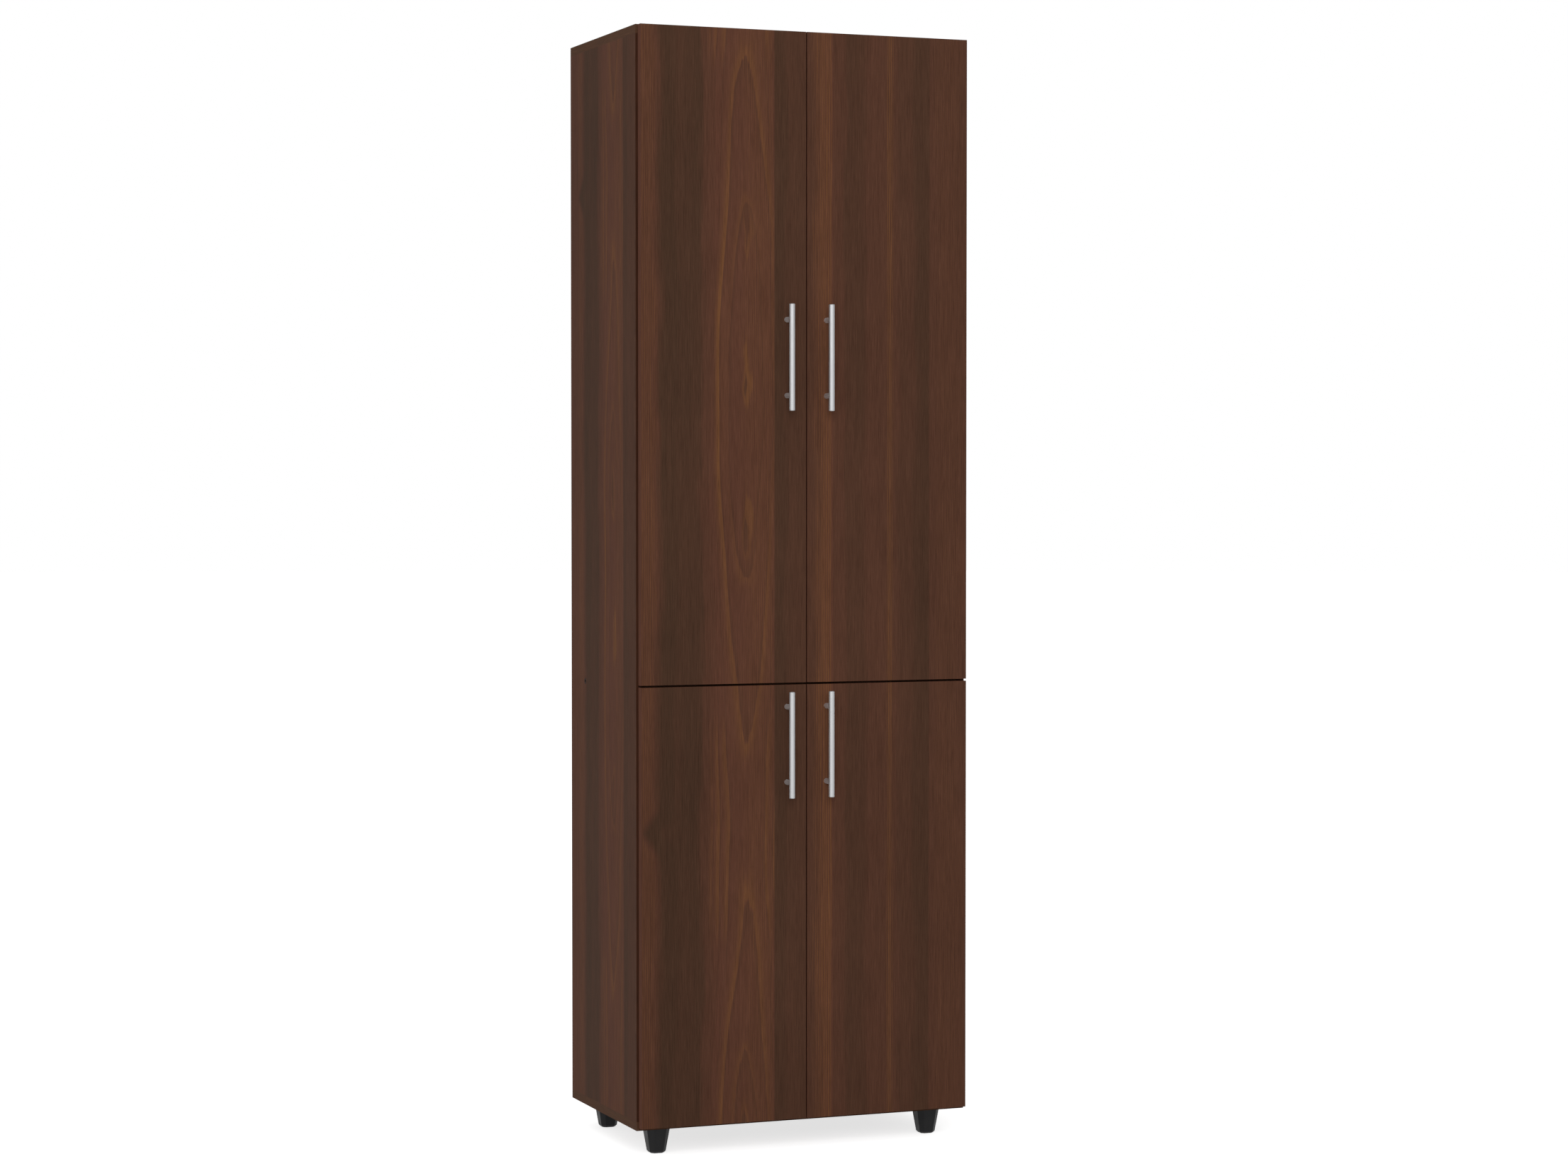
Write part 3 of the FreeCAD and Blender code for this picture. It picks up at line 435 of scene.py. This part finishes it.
# %% Lines of the flame
# How far a line and its fading side reach from the ring, how softly they end, and how strong they are.
LINE_PARTS = [(0.24, 0.16, 0.65), (0.42, 0.3, 0.3)]
LEAST_SLOPE = 0.2
LINE_START = 0.03
RIM_START, RIM_SOFT = 0.9, 0.1
FLAME_REACH, FLAME_REACH_SOFT = 1.95, 0.35

reach = reckon(paper, "ABSOLUTE", offset)
from_line = reckon(paper, "DIVIDE", since_ring, reckon(paper, "ADD", reach, LEAST_SLOPE))
line = 0.0
for edge, soft, strength in LINE_PARTS:
    line = reckon(paper, "ADD", line, product(paper, fall(paper, from_line, edge, soft), strength))
line = product(paper, line, rise(paper, from_line, LINE_START, LINE_START))
in_reach = fall(paper, reach, FLAME_REACH, FLAME_REACH_SOFT)
in_flame = product(paper, in_reach, fall(paper, across, SEAM, SEAM_SOFT))
rim = product(paper, rise(paper, since_ring, RIM_START, RIM_SOFT), in_flame)
print("flame lines:", len(paper.nodes), "nodes so far")

# %% Which lines show, and how strongly
# Strength of the lines around the arches, and on the right and the left where the flame stands open.
AT_ARCHES, OPEN_SIDES, SIDES_SOFT = 0.95, (0.5, 1.5), 0.4
# Strength of the ring inside the main one, at the arches and in the open flame, and its top level.
INNER_RING, INNER_LEVEL, INNER_SOFT = (0.7, 0.15), 0.4, 0.3
# Rings above this level are left out, except at the points of the arches, where the bowl is lifted high.
LAST_LEVEL, LAST_SOFT = 2.2, 0.05
HIGH_LIFT, HIGH_LIFT_SOFT = 0.9, 0.15

above_inner = rise(paper, level, INNER_LEVEL, INNER_SOFT)
inner = between(paper, above_inner, between(paper, opened, *INNER_RING), 1.0)
lifted = rise(paper, lift, HIGH_LIFT, HIGH_LIFT_SOFT)
last_ring = reckon(paper, "MAXIMUM", fall(paper, level, LAST_LEVEL, LAST_SOFT), lifted)
open_side = between(paper, fall(paper, offset, 0.0, SIDES_SOFT), *OPEN_SIDES)
side = between(paper, opened, AT_ARCHES, open_side)
arch = product(paper, line, in_flame, inner, last_ring, side)
print("chosen lines:", len(paper.nodes), "nodes so far")

# %% [markdown]
# In the middle of the open flame the saw only grazed a ring here and there. Each graze left a small eye:
# a pale outline about a dark heart. A cosine along the board opens and closes the eyes at regular places,
# noise makes each one different, and the heart sits a little to one side, so that the outline is thicker
# on the other.

# %% Eyes in the open flame
GRAZE_PLACE, GRAZE_STEP = 1315.0, 255.0
GRAZE_SWELL, GRAZE_CLOSING, GRAZE_BEND = 11.0, 4.5, 13
HEART_SHIFT, HEART_EDGE, HEART_SOFT = 2.0, 2.5, 2.0
OUTLINE_EDGE, OUTLINE_SOFT = -2.5, 3.0
OUTLINE_STRENGTH, HEART_STRENGTH = 1.2, 1.8

graze_turn = product(paper, reckon(paper, "SUBTRACT", along, GRAZE_PLACE), 2 * math.pi / GRAZE_STEP)
graze = reckon(paper, "MULTIPLY_ADD", reckon(paper, "COSINE", graze_turn), GRAZE_SWELL, -GRAZE_CLOSING)
graze = reckon(paper, "ADD", graze, swing(paper, noise["graze"], GRAZE_BEND))


def inside_graze(shift):
    """How deep a place lies inside a graze whose middle is moved to the left, in mm."""
    from_graze = reckon(paper, "ABSOLUTE", reckon(paper, "ADD", from_middle, shift))
    return reckon(paper, "SUBTRACT", graze, from_graze)


heart = product(paper, rise(paper, inside_graze(HEART_SHIFT), HEART_EDGE, HEART_SOFT), opened)
outline = product(paper, rise(paper, inside_graze(0.0), OUTLINE_EDGE, OUTLINE_SOFT), opened)
outline = reckon(paper, "SUBTRACT", outline, heart, clamp=True)
rim = reckon(paper, "MAXIMUM", rim, product(paper, heart, HEART_STRENGTH))
flame = reckon(paper, "MAXIMUM", arch, product(paper, outline, OUTLINE_STRENGTH))
print("print with flame:", len(paper.nodes), "nodes")

# %% [markdown]
# Now the tones are laid on each other as a printer lays inks: reddish brown, the dark bands, the amber
# lines. Fibres and clouds then lighten and darken the whole, and the pores are dotted on top as short
# dark dashes.

# %% Colours of the print
FLAME_BY_FIBRE, FLAME_BY_LENGTH = (0.45, 0.9), (0.7, 1.3)
RIM_DARKNESS = 0.3
# By how much each noise lightens and darkens the wood.
SHADING = {"fibre": 0.31, "hair": 0.27, "stripe": 0.10, "mottle": 0.10, "fade": 0.12}
PORE_EDGE, PORE_SOFT, PORE_DARKNESS = 0.66, 0.06, 0.22

flame_fibres = between(paper, noise["fibre"], *FLAME_BY_FIBRE)
flame = product(paper, flame, flame_fibres, between(paper, noise["fade"], *FLAME_BY_LENGTH))
amber = reckon(paper, "MAXIMUM", amber, flame)
dark = reckon(paper, "ADD", dark, product(paper, rim, RIM_DARKNESS))
wood = tint(paper, reckon(paper, "MULTIPLY", dark, figured, clamp=True), REDDISH, DARK)
wood = tint(paper, reckon(paper, "MULTIPLY", amber, figured, clamp=True), wood, AMBER)
wood = tint(paper, given["Plain"], wood, given["Edging"])
shade = total(paper, 1.0, *[swing(paper, noise[name], share) for name, share in SHADING.items()])
shade = reckon(paper, "SUBTRACT", shade, knot_shade)
shade_colour = add_node(paper, "CombineColor", {"Red": shade, "Green": shade, "Blue": shade}).outputs[0]
wood = tint(paper, 1.0, wood, shade_colour, "MULTIPLY")
pores = rise(paper, noise["pore"], PORE_EDGE, PORE_SOFT)
wood = tint(paper, product(paper, pores, PORE_DARKNESS), wood, DARK)
fill(paper, result, {"Colour": wood, "Fibre": noise["fibre"], "Pores": pores})
print("walnut print:", len(paper.nodes), "nodes")

# %% [markdown]
# ## Which way the grain runs
# The same print lies on every board, but a door shows it across X, a side across Y, and a shelf lies flat
# with its grain from left to right. Edges carry a plain strip of edging. Each kind of board gets a small
# group that reads the board's own coordinates and facing, so the print stays on the board when a door
# swings.

# %% Grain directions
# Where the sheet of the sides starts and ends across, and how far it is moved along, all in metres.
SIDE_SHEET_START, SIDE_SHEET_LIMIT, SIDE_SHEET_FURTHER = -0.1456, -0.001, -1.082
# A surface lies on a broad face or an end if it faces along that axis by more than this.
EDGE_FACING = 0.7


def grain_group(name, face, width, length, flip=1.0, start=0.0, limit=None, further=0.0):
    """Across and along the grain of a board whose broad face, width and grain lie on the given axes."""
    group, _, out = new_group(name, {}, {"Across": "Float", "Along": "Float", "Edge": "Float"})
    coordinates = add_node(group, "TexCoord")
    place = add_node(group, "SeparateXYZ", {0: coordinates.outputs["Object"]}).outputs
    facing = add_node(group, "SeparateXYZ", {0: coordinates.outputs["Normal"]}).outputs
    on_face = reckon(group, "GREATER_THAN", reckon(group, "ABSOLUTE", facing[face]), EDGE_FACING)
    on_end = reckon(group, "GREATER_THAN", reckon(group, "ABSOLUTE", facing[length]), EDGE_FACING)
    sheet = reckon(group, "MULTIPLY_ADD", place[width], flip, start)
    if limit is not None:
        sheet = reckon(group, "MINIMUM", sheet, limit)
    along_sheet = reckon(group, "ADD", place[length], further)
    fill(group, out, {
        "Across": between(group, on_face, place[face], sheet),
        "Along": between(group, on_end, along_sheet, place[width]),
        "Edge": reckon(group, "SUBTRACT", 1.0, on_face)})
    return group


door_grain = grain_group("door_grain", "Y", "X", "Z")
side_grain = grain_group(
    "side_grain", "X", "Y", "Z", flip=-1.0,
    start=SIDE_SHEET_START, limit=SIDE_SHEET_LIMIT, further=SIDE_SHEET_FURTHER)
shelf_grain = grain_group("shelf_grain", "Z", "Y", "X")
print("grain groups:", [group.name for group in (door_grain, side_grain, shelf_grain)])

# %% [markdown]
# ## Laminate
# The printed paper is pressed onto the board under melamine resin. The press gives it a satin face, a
# little duller along the pale fibres, with the pores as fine dents. A clear coat would give a second,
# sharper gloss, which this matt board does not have, so the one shader does without it and has very
# little shine.

# %% Laminate on doors, sides and shelves
RESIN_SHINE = 0.012
RESIN_ROUGHNESS = (0.5, 0.62)
PORE_DEPTH, PORE_BUMP = 0.00004, 0.35
# The edging of the sides is their own brown with painted shade: it is darkened for the shade that the doors
# cast on the narrow front edge of the carcass, and the same colour lies on every edge of a side.
SIDE_EDGING_WITH_PAINTED_SHADE, SHELF_EDGING = paint(62, 37, 26), paint(81, 56, 41)


def put_group(tree, group, sockets=None):
    """Places a shader group in a tree and returns its outputs."""
    return add_node(tree, "Group", sockets, node_tree=group).outputs


def laminate(name, grain, edging):
    """Walnut print under satin resin, with plain edging."""
    finish, tree, shader = new_finish(name)
    sheet = put_group(tree, grain)
    printed = put_group(tree, paper, {
        "Across": sheet["Across"], "Along": sheet["Along"], "Plain": sheet["Edge"], "Edging": edging})
    dents = {"Strength": PORE_BUMP, "Distance": PORE_DEPTH, "Height": printed["Pores"]}
    fill(tree, shader, {
        "Base Color": printed["Colour"],
        "Roughness": between(tree, printed["Fibre"], *RESIN_ROUGHNESS),
        "Normal": add_node(tree, "Bump", dents, invert=True).outputs[0],
        "Specular IOR Level": RESIN_SHINE})
    return finish


walnut_shelf = laminate("walnut_shelf", shelf_grain, SHELF_EDGING)
BOARDS = {
    "_door": laminate("walnut_door", door_grain, REDDISH),
    "_side": laminate("walnut_side", side_grain, SIDE_EDGING_WITH_PAINTED_SHADE),
    "_shelf": walnut_shelf,
    "_panel": walnut_shelf,
}
print("laminates:", sorted({finish.name for finish in BOARDS.values()}))

# %% Face the boards
def by_ending(name, table):
    """The entry of a table whose key is the ending of a name, or nothing."""
    return next((entry for ending, entry in table.items() if name.endswith(ending)), None)


def dress(node, finish):
    """Gives a piece one finish in place of those it came with."""
    node.data.materials.clear()
    node.data.materials.append(finish)


board_names = [name for name in nodes if by_ending(name, BOARDS)]
for name in board_names:
    dress(nodes[name], by_ending(name, BOARDS))
print("boards faced:", len(board_names))

# %% [markdown]
# ## Metal
# The bars of the handles are satin steel, their posts turned steel, the hinges nickel, the rail chrome
# and the screws zinc. Close up no such metal is even: grinding, turning or drawing leaves fine lines, and
# handling leaves duller patches. Both are noise, and for lines the noise is squeezed along one axis. One
# shader group serves every small part with sizes of its own.

# %% Worked skin as one shader group
skin, skin_given, skin_result = new_group(
    "worked_skin", {"Grain": "Vector", "Patch": "Float"}, {"Lines": "Float", "Patches": "Float"})
own_place = add_node(skin, "TexCoord").outputs["Object"]
in_mm = add_node(skin, "VectorMath", {0: own_place, "Scale": MM}, operation="SCALE").outputs[0]
squeezed = add_node(skin, "VectorMath", {0: in_mm, 1: skin_given["Grain"]}, operation="DIVIDE").outputs[0]
patch_scale = reckon(skin, "DIVIDE", 1.0, skin_given["Patch"])
fill(skin, skin_result, {
    "Lines": add_node(skin, "TexNoise", {"Vector": squeezed, "Scale": 1.0}).outputs[0],
    "Patches": add_node(skin, "TexNoise", {"Vector": in_mm, "Scale": patch_scale}).outputs[0]})
print("worked skin:", len(skin.nodes), "nodes")

# %% Satin steel, nickel, chrome and zinc
SKIN_MIDDLE, SKIN_SOFT = 0.5, 0.3
SKIN_BUMP = 0.4
# Colours beside and on the lines; size of the lines along X, Y and Z, and of the patches, in mm; roughness
# of smooth and of dull patches; depth of the lines in mm.
METALS = {
    "satin_steel": ((0.38, 0.38, 0.385, 1), (0.46, 0.46, 0.465, 1), (9, 9, 0.14), 30, 0.5, 0.6, 0.004),
    "turned_steel": ((0.56, 0.54, 0.54, 1), (0.66, 0.64, 0.64, 1), (9, 0.14, 9), 30, 0.5, 0.6, 0.004),
    "nickel_plate": ((0.50, 0.48, 0.43, 1), (0.64, 0.62, 0.57, 1), (0.7, 0.7, 0.7), 9, 0.22, 0.38, 0.006),
    "chrome_plate": ((0.62, 0.62, 0.64, 1), (0.74, 0.74, 0.76, 1), (0.4, 40, 0.4), 45, 0.07, 0.17, 0.003),
    "zinc_plate": ((0.40, 0.41, 0.44, 1), (0.58, 0.57, 0.52, 1), (0.5, 0.5, 0.5), 3, 0.28, 0.45, 0.006),
}


def worked(name, gloss, low, high, grain, patch, smooth, dull, depth):
    """A finish whose colour and relief follow fine lines and whose roughness follows handling."""
    finish, tree, shader = new_finish(name)
    skin_here = put_group(tree, skin, {"Grain": grain, "Patch": patch})
    lines = rise(tree, skin_here["Lines"], SKIN_MIDDLE, SKIN_SOFT)
    patches = rise(tree, skin_here["Patches"], SKIN_MIDDLE, SKIN_SOFT)
    relief = {"Strength": SKIN_BUMP, "Distance": depth / MM, "Height": skin_here["Lines"]}
    fill(tree, shader, {
        "Base Color": tint(tree, lines, low, high),
        "Roughness": between(tree, patches, smooth, dull),
        "Normal": add_node(tree, "Bump", relief).outputs[0],
        **gloss})
    return finish


finishes = {name: worked(name, {"Metallic": 1.0}, *look) for name, look in METALS.items()}
print("metals:", sorted(finishes))

# %% [markdown]
# ## Plastic, lacquer and raw wood
# The feet are moulded in black plastic, whose tool leaves a fine even skin that breaks up the gloss. The
# ends of the rail sit in grey caps, the screws of the carcass are lacquered brown to match the boards,
# and the dowels are beech. They share the worked skin; only the shine of a clear surface is set instead
# of metal.

# %% Feet, caps, lacquer and dowels
# The shine, then the same values as for the metals.
COATS = {
    "foot_plastic": (
        0.2, (0.004, 0.004, 0.0045, 1), (0.009, 0.009, 0.0095, 1), (0.35, 0.35, 0.35), 22, 0.45, 0.6, 0.03),
    "cap_plastic": (
        0.4, (0.035, 0.035, 0.038, 1), (0.050, 0.050, 0.054, 1), (0.3, 0.3, 0.3), 15, 0.35, 0.5, 0.02),
    "brown_lacquer": (
        RESIN_SHINE, (0.020, 0.012, 0.009, 1), (0.034, 0.020, 0.015, 1), (0.4, 0.4, 0.4), 3,
        0.35, 0.5, 0.01),
    "beech": (
        0.3, (0.42, 0.25, 0.12, 1), (0.60, 0.40, 0.21, 1), (0.35, 0.35, 6), 5, 0.55, 0.75, 0.05),
}

for name, (shine, *look) in COATS.items():
    finishes[name] = worked(name, {"Specular IOR Level": shine}, *look)
print("plastics, lacquer and wood:", sorted(COATS))

# %% [markdown]
# ## The back
# The two back panels are 3 mm hardboard. The side that shows inside carries the walnut print; the side
# that faces the wall is bare brown board, pressed from short fibres. A board has one material, so the
# material asks which way the surface faces and mixes the two looks.

# %% Hardboard
BARE_DARK, BARE_PALE = paint(112, 80, 52), paint(150, 112, 76)
BARE_ROUGHNESS = (0.6, 0.85)
# Size of the flecks in mm, clouds to a metre, and how much of the tone is clouds.
FLECK, CLOUDS, CLOUD_SHARE = 1.6, 9.0, 0.35
FLECK_SOFT, CLOUD_SOFT = 0.25, 0.3
FLECK_DEPTH, FLECK_BUMP = 0.0001, 0.5
BARE_SHINE = 0.1

finish, tree, shader = new_finish("hardboard")
sheet = put_group(tree, door_grain)
printed = put_group(tree, paper, {"Across": sheet["Across"], "Along": sheet["Along"]})
coordinates = add_node(tree, "TexCoord").outputs
facing = add_node(tree, "SeparateXYZ", {0: coordinates["Normal"]}).outputs["Y"]
bare = reckon(tree, "GREATER_THAN", facing, -EDGE_FACING)
own_place = coordinates["Object"]
flecks = add_node(tree, "TexNoise", {"Vector": own_place, "Scale": MM / FLECK, "Detail": 4.0}).outputs[0]
clouds = add_node(tree, "TexNoise", {"Vector": own_place, "Scale": CLOUDS, "Detail": 3.0}).outputs[0]
fleck_tone = rise(tree, flecks, 0.5, FLECK_SOFT)
tone = between(tree, CLOUD_SHARE, fleck_tone, rise(tree, clouds, 0.5, CLOUD_SOFT))
print_roughness = between(tree, printed["Fibre"], *RESIN_ROUGHNESS)
relief = {"Strength": FLECK_BUMP, "Distance": FLECK_DEPTH, "Height": between(tree, bare, 0.0, flecks)}
fill(tree, shader, {
    "Base Color": tint(tree, bare, printed["Colour"], tint(tree, tone, BARE_DARK, BARE_PALE)),
    "Roughness": between(tree, bare, print_roughness, between(tree, flecks, *BARE_ROUGHNESS)),
    "Normal": add_node(tree, "Bump", relief).outputs[0],
    "Specular IOR Level": BARE_SHINE})
finishes["hardboard"] = finish
print("hardboard:", len(tree.nodes), "nodes")

# %% [markdown]
# ## Every small piece gets its finish
# The CAD names say what a piece is, so the ending of the name picks the finish. The carcass screws stand
# before the other screws in the table, because the first ending that fits is taken.

# %% Dress the small pieces
ENDINGS = {
    "_handle_bar": "satin_steel", "_handle_posts": "turned_steel", "_hinge_cups": "nickel_plate",
    "_hinge_arms": "nickel_plate", "_hinge_plates": "nickel_plate", "_hinge_pins": "nickel_plate",
    "shelf_pins": "nickel_plate", "_rail": "chrome_plate", "_bracket": "chrome_plate",
    "_foot": "foot_plastic", "rail_caps": "cap_plastic", "_dowels": "beech", "_back": "hardboard",
    "carcass_screws": "brown_lacquer", "_screws": "zinc_plate", "_nails": "zinc_plate",
}

finish_of = {name: finishes[by_ending(name, ENDINGS)] for name in nodes if by_ending(name, ENDINGS)}
for name, finish in finish_of.items():
    dress(nodes[name], finish)
print("small pieces finished:", len(finish_of), "of", len(nodes) - len(board_names))

# %% [markdown]
# ## Screws
# In CAD every screw is a plain turned shape, and its drive is left to the mesh: a cross in the pan heads,
# and a hexagon in the large screws of the carcass. So the screws are built anew at their places. The
# place and the size of each one are read from the CAD mesh, by taking it apart into solids and looking
# for the brim.

# %% Take the CAD screws apart
SAME_POINT = 1e-6


def solids_of(node):
    """The separate solids of a CAD node, each as a list of its corner points."""
    copy = bmesh.new()
    copy.from_mesh(node.data)
    bmesh.ops.remove_doubles(copy, verts=copy.verts, dist=SAME_POINT)
    waiting = set(copy.verts)
    solids = []
    while waiting:
        reached = [waiting.pop()]
        for vert in reached:
            beside = {edge.other_vert(vert) for edge in vert.link_edges} & waiting
            waiting -= beside
            reached.extend(beside)
        solids.append([vert.co.copy() for vert in reached])
    copy.free()
    return solids


screw_nodes = sorted(name for name in nodes if name.endswith("_screws"))
screw_solids = {name: solids_of(nodes[name]) for name in screw_nodes}
print("screws:", {name: len(solids) for name, solids in screw_solids.items()})

# %% Measure the screws
# Points that lie further out than this share of the radius belong to the brim of a head.
BRIM = 0.97


def measure_screw(points):
    """Middle of the top of a screw, the way it faces, radius and height of its head, and its length."""
    low = Vector(min(point[axis] for point in points) for axis in range(3))
    high = Vector(max(point[axis] for point in points) for axis in range(3))
    size = high - low
    axis = min(range(3), key=lambda index: abs(size[index - 1] - size[index - 2]))
    radius = (size[axis - 1] + size[axis - 2]) / 4
    middle = (low + high) / 2
    brim = [point[axis] for point in points if abs(point[axis - 1] - middle[axis - 1]) > BRIM * radius]
    facing = Vector((0, 0, 0))
    facing[axis] = 1.0 if sum(brim) / len(brim) > middle[axis] else -1.0
    return middle + facing * size[axis] / 2, facing, radius, max(brim) - min(brim), size[axis]


screw_places = {name: [measure_screw(points) for points in solids] for name, solids in screw_solids.items()}
print("heads in mm:", {name: round(2 * MM * places[0][2], 1) for name, places in screw_places.items()})

# %% [markdown]
# The turned part of a screw is a spin of a short profile, open at the flat top of the head. The cross is
# a small grid with its corners taken off. The top is filled around it, and its faces are pushed down and
# drawn together. A boolean cut would do it too, but it needs a second shape, which has to be placed and
# taken away again.

# %% A spun shape and a sunk drive
STEPS = 16
SPIN_GAP = 1e-7


def turned(profile):
    """Spins a profile of (radius, height) points about the upright axis."""
    shape = bmesh.new()
    corners = [shape.verts.new((radius, 0, height)) for radius, height in profile]
    edges = [shape.edges.new(pair) for pair in zip(corners, corners[1:])]
    bmesh.ops.spin(
        shape, geom=corners + edges, cent=(0, 0, 0), axis=(0, 0, 1), angle=2 * math.pi, steps=STEPS,
        use_merge=True)
    bmesh.ops.remove_doubles(shape, verts=shape.verts, dist=SPIN_GAP)
    return shape


def sink_drive(shape, drive, depth, taper):
    """Fills the flat top between the rim of a head and a drive, then sinks the drive's faces."""
    open_edges = [edge for edge in shape.edges if edge.is_boundary]
    bmesh.ops.triangle_fill(shape, edges=open_edges, use_beauty=True, normal=(0, 0, 1))
    sunk = bmesh.ops.extrude_face_region(shape, geom=drive)["geom"]
    bmesh.ops.delete(shape, geom=drive, context="FACES")
    floor_verts = [item for item in sunk if isinstance(item, bmesh.types.BMVert)]
    bmesh.ops.scale(shape, vec=(taper, taper, 1), verts=floor_verts)
    bmesh.ops.translate(shape, vec=(0, 0, -depth), verts=floor_verts)
    bmesh.ops.recalc_face_normals(shape, faces=shape.faces)


print("screws are spun in", STEPS, "steps")

# %% Pan heads with a cross
CARCASS_SCREWS = "carcass_screws"
# Outline of the head, from the underside to the rim of the flat top, in shares of its radius and height.
PAN_OUTLINE = [(1, -1), (1, -0.45), (0.95, -0.15), (0.82, 0)]
# Radius of the shank in shares of the head's.
SHANK = 0.48
# Reach and depth of the cross in shares of the head's radius, and how far its floor is drawn together.
CROSS_REACH, CROSS_DEPTH, CROSS_TAPER = 0.58, 0.5, 0.5


def pan_head(radius, height, length):
    """A screw with a low round head and a cross, whose top lies at height 0."""
    shank = SHANK * radius
    head = [(out * radius, up * height) for out, up in PAN_OUTLINE]
    shape = turned([(0, -length), (shank, shank - length), (shank, -height), *head])
    reach = CROSS_REACH * radius
    grid = bmesh.ops.create_grid(shape, x_segments=3, y_segments=3, size=reach)["verts"]
    cells = {face for vert in grid for face in vert.link_faces}
    corners = [cell for cell in cells if min(map(abs, cell.calc_center_median()[:2])) > reach / 2]
    bmesh.ops.delete(shape, geom=corners, context="FACES")
    sink_drive(shape, list(cells - set(corners)), CROSS_DEPTH * radius, CROSS_TAPER)
    return shape


forms = {}
for name, places in screw_places.items():
    if name != CARCASS_SCREWS:
        forms[name] = pan_head(*places[0][2:])
print("faces of a pan head screw:", {len(form.faces) for form in forms.values()})

# %% Flush heads with a hexagon
# Outline of the head, given in the same way.
FLUSH_OUTLINE = [(1, -1), (1, -0.1), (0.96, 0)]
# Radius of the neck in shares of the head's, and where it ends, in shares of the screw's length.
NECK, NECK_END = 0.68, 0.3
# Reach in shares of the radius, depth in shares of the height, and how far the floor is drawn together.
HEX_REACH, HEX_DEPTH, HEX_TAPER = 0.5, 1.1, 0.95


def flush_head(radius, height, length):
    """A carcass screw with a flat sunk head and a hexagon, whose top lies at height 0."""
    shank, neck, neck_end = SHANK * radius, NECK * radius, -NECK_END * length
    head = [(neck, neck - radius - height), *[(out * radius, up * height) for out, up in FLUSH_OUTLINE]]
    shape = turned([(0, -length), (shank, shank - length), (shank, neck_end), (neck, neck_end), *head])
    hexagon = bmesh.ops.create_circle(shape, cap_ends=True, segments=6, radius=HEX_REACH * radius)["verts"]
    drive = {face for vert in hexagon for face in vert.link_faces}
    sink_drive(shape, list(drive), HEX_DEPTH * height, HEX_TAPER)
    return shape


forms[CARCASS_SCREWS] = flush_head(*screw_places[CARCASS_SCREWS][0][2:])
print("faces of a carcass screw:", len(forms[CARCASS_SCREWS].faces))

# %% [markdown]
# The screws of a CAD node are all alike, so one form is copied to every place and turned until its head
# faces outwards. The copies make one new piece, which stands in for the node and rides on the same body:
# the screws of a handle go with their door.

# %% Copies of a form
def copied_to(form, places):
    """One mesh with a copy of a form at each place."""
    master = bpy.data.meshes.new("form")
    form.to_mesh(master)
    form.free()
    shape = bmesh.new()
    for top, facing, *_ in places:
        before = len(shape.verts)
        shape.from_mesh(master)
        shape.verts.ensure_lookup_table()
        turn = Vector((0, 0, 1)).rotation_difference(facing).to_matrix().to_4x4()
        bmesh.ops.transform(shape, matrix=Matrix.Translation(top) @ turn, verts=shape.verts[before:])
    bpy.data.meshes.remove(master)
    return shape


shapes = {name: copied_to(forms[name], places) for name, places in screw_places.items()}
print("faces of all screws:", sum(len(shape.faces) for shape in shapes.values()))

# %% New screws in place of the plain ones
SHARP_ANGLE = math.radians(30)


def put_piece(name, shape, finish, body):
    """Makes an object of a finished shape and lets it ride on a body."""
    mesh = bpy.data.meshes.new(name)
    shape.to_mesh(mesh)
    shape.free()
    mesh.shade_smooth()
    mesh.set_sharp_from_angle(angle=SHARP_ANGLE)
    mesh.materials.append(finish)
    piece = bpy.data.objects.new(name, mesh)
    bpy.context.scene.collection.objects.link(piece)
    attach(piece, body)
    return piece


for name, shape in shapes.items():
    body = next((body for body in frame["bodies"] if name.startswith(body)), "carcass")
    piece = put_piece(name + "_driven", shape, finish_of[name], body)
    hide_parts(name)
print("screws with drives:", sum(len(places) for places in screw_places.values()))
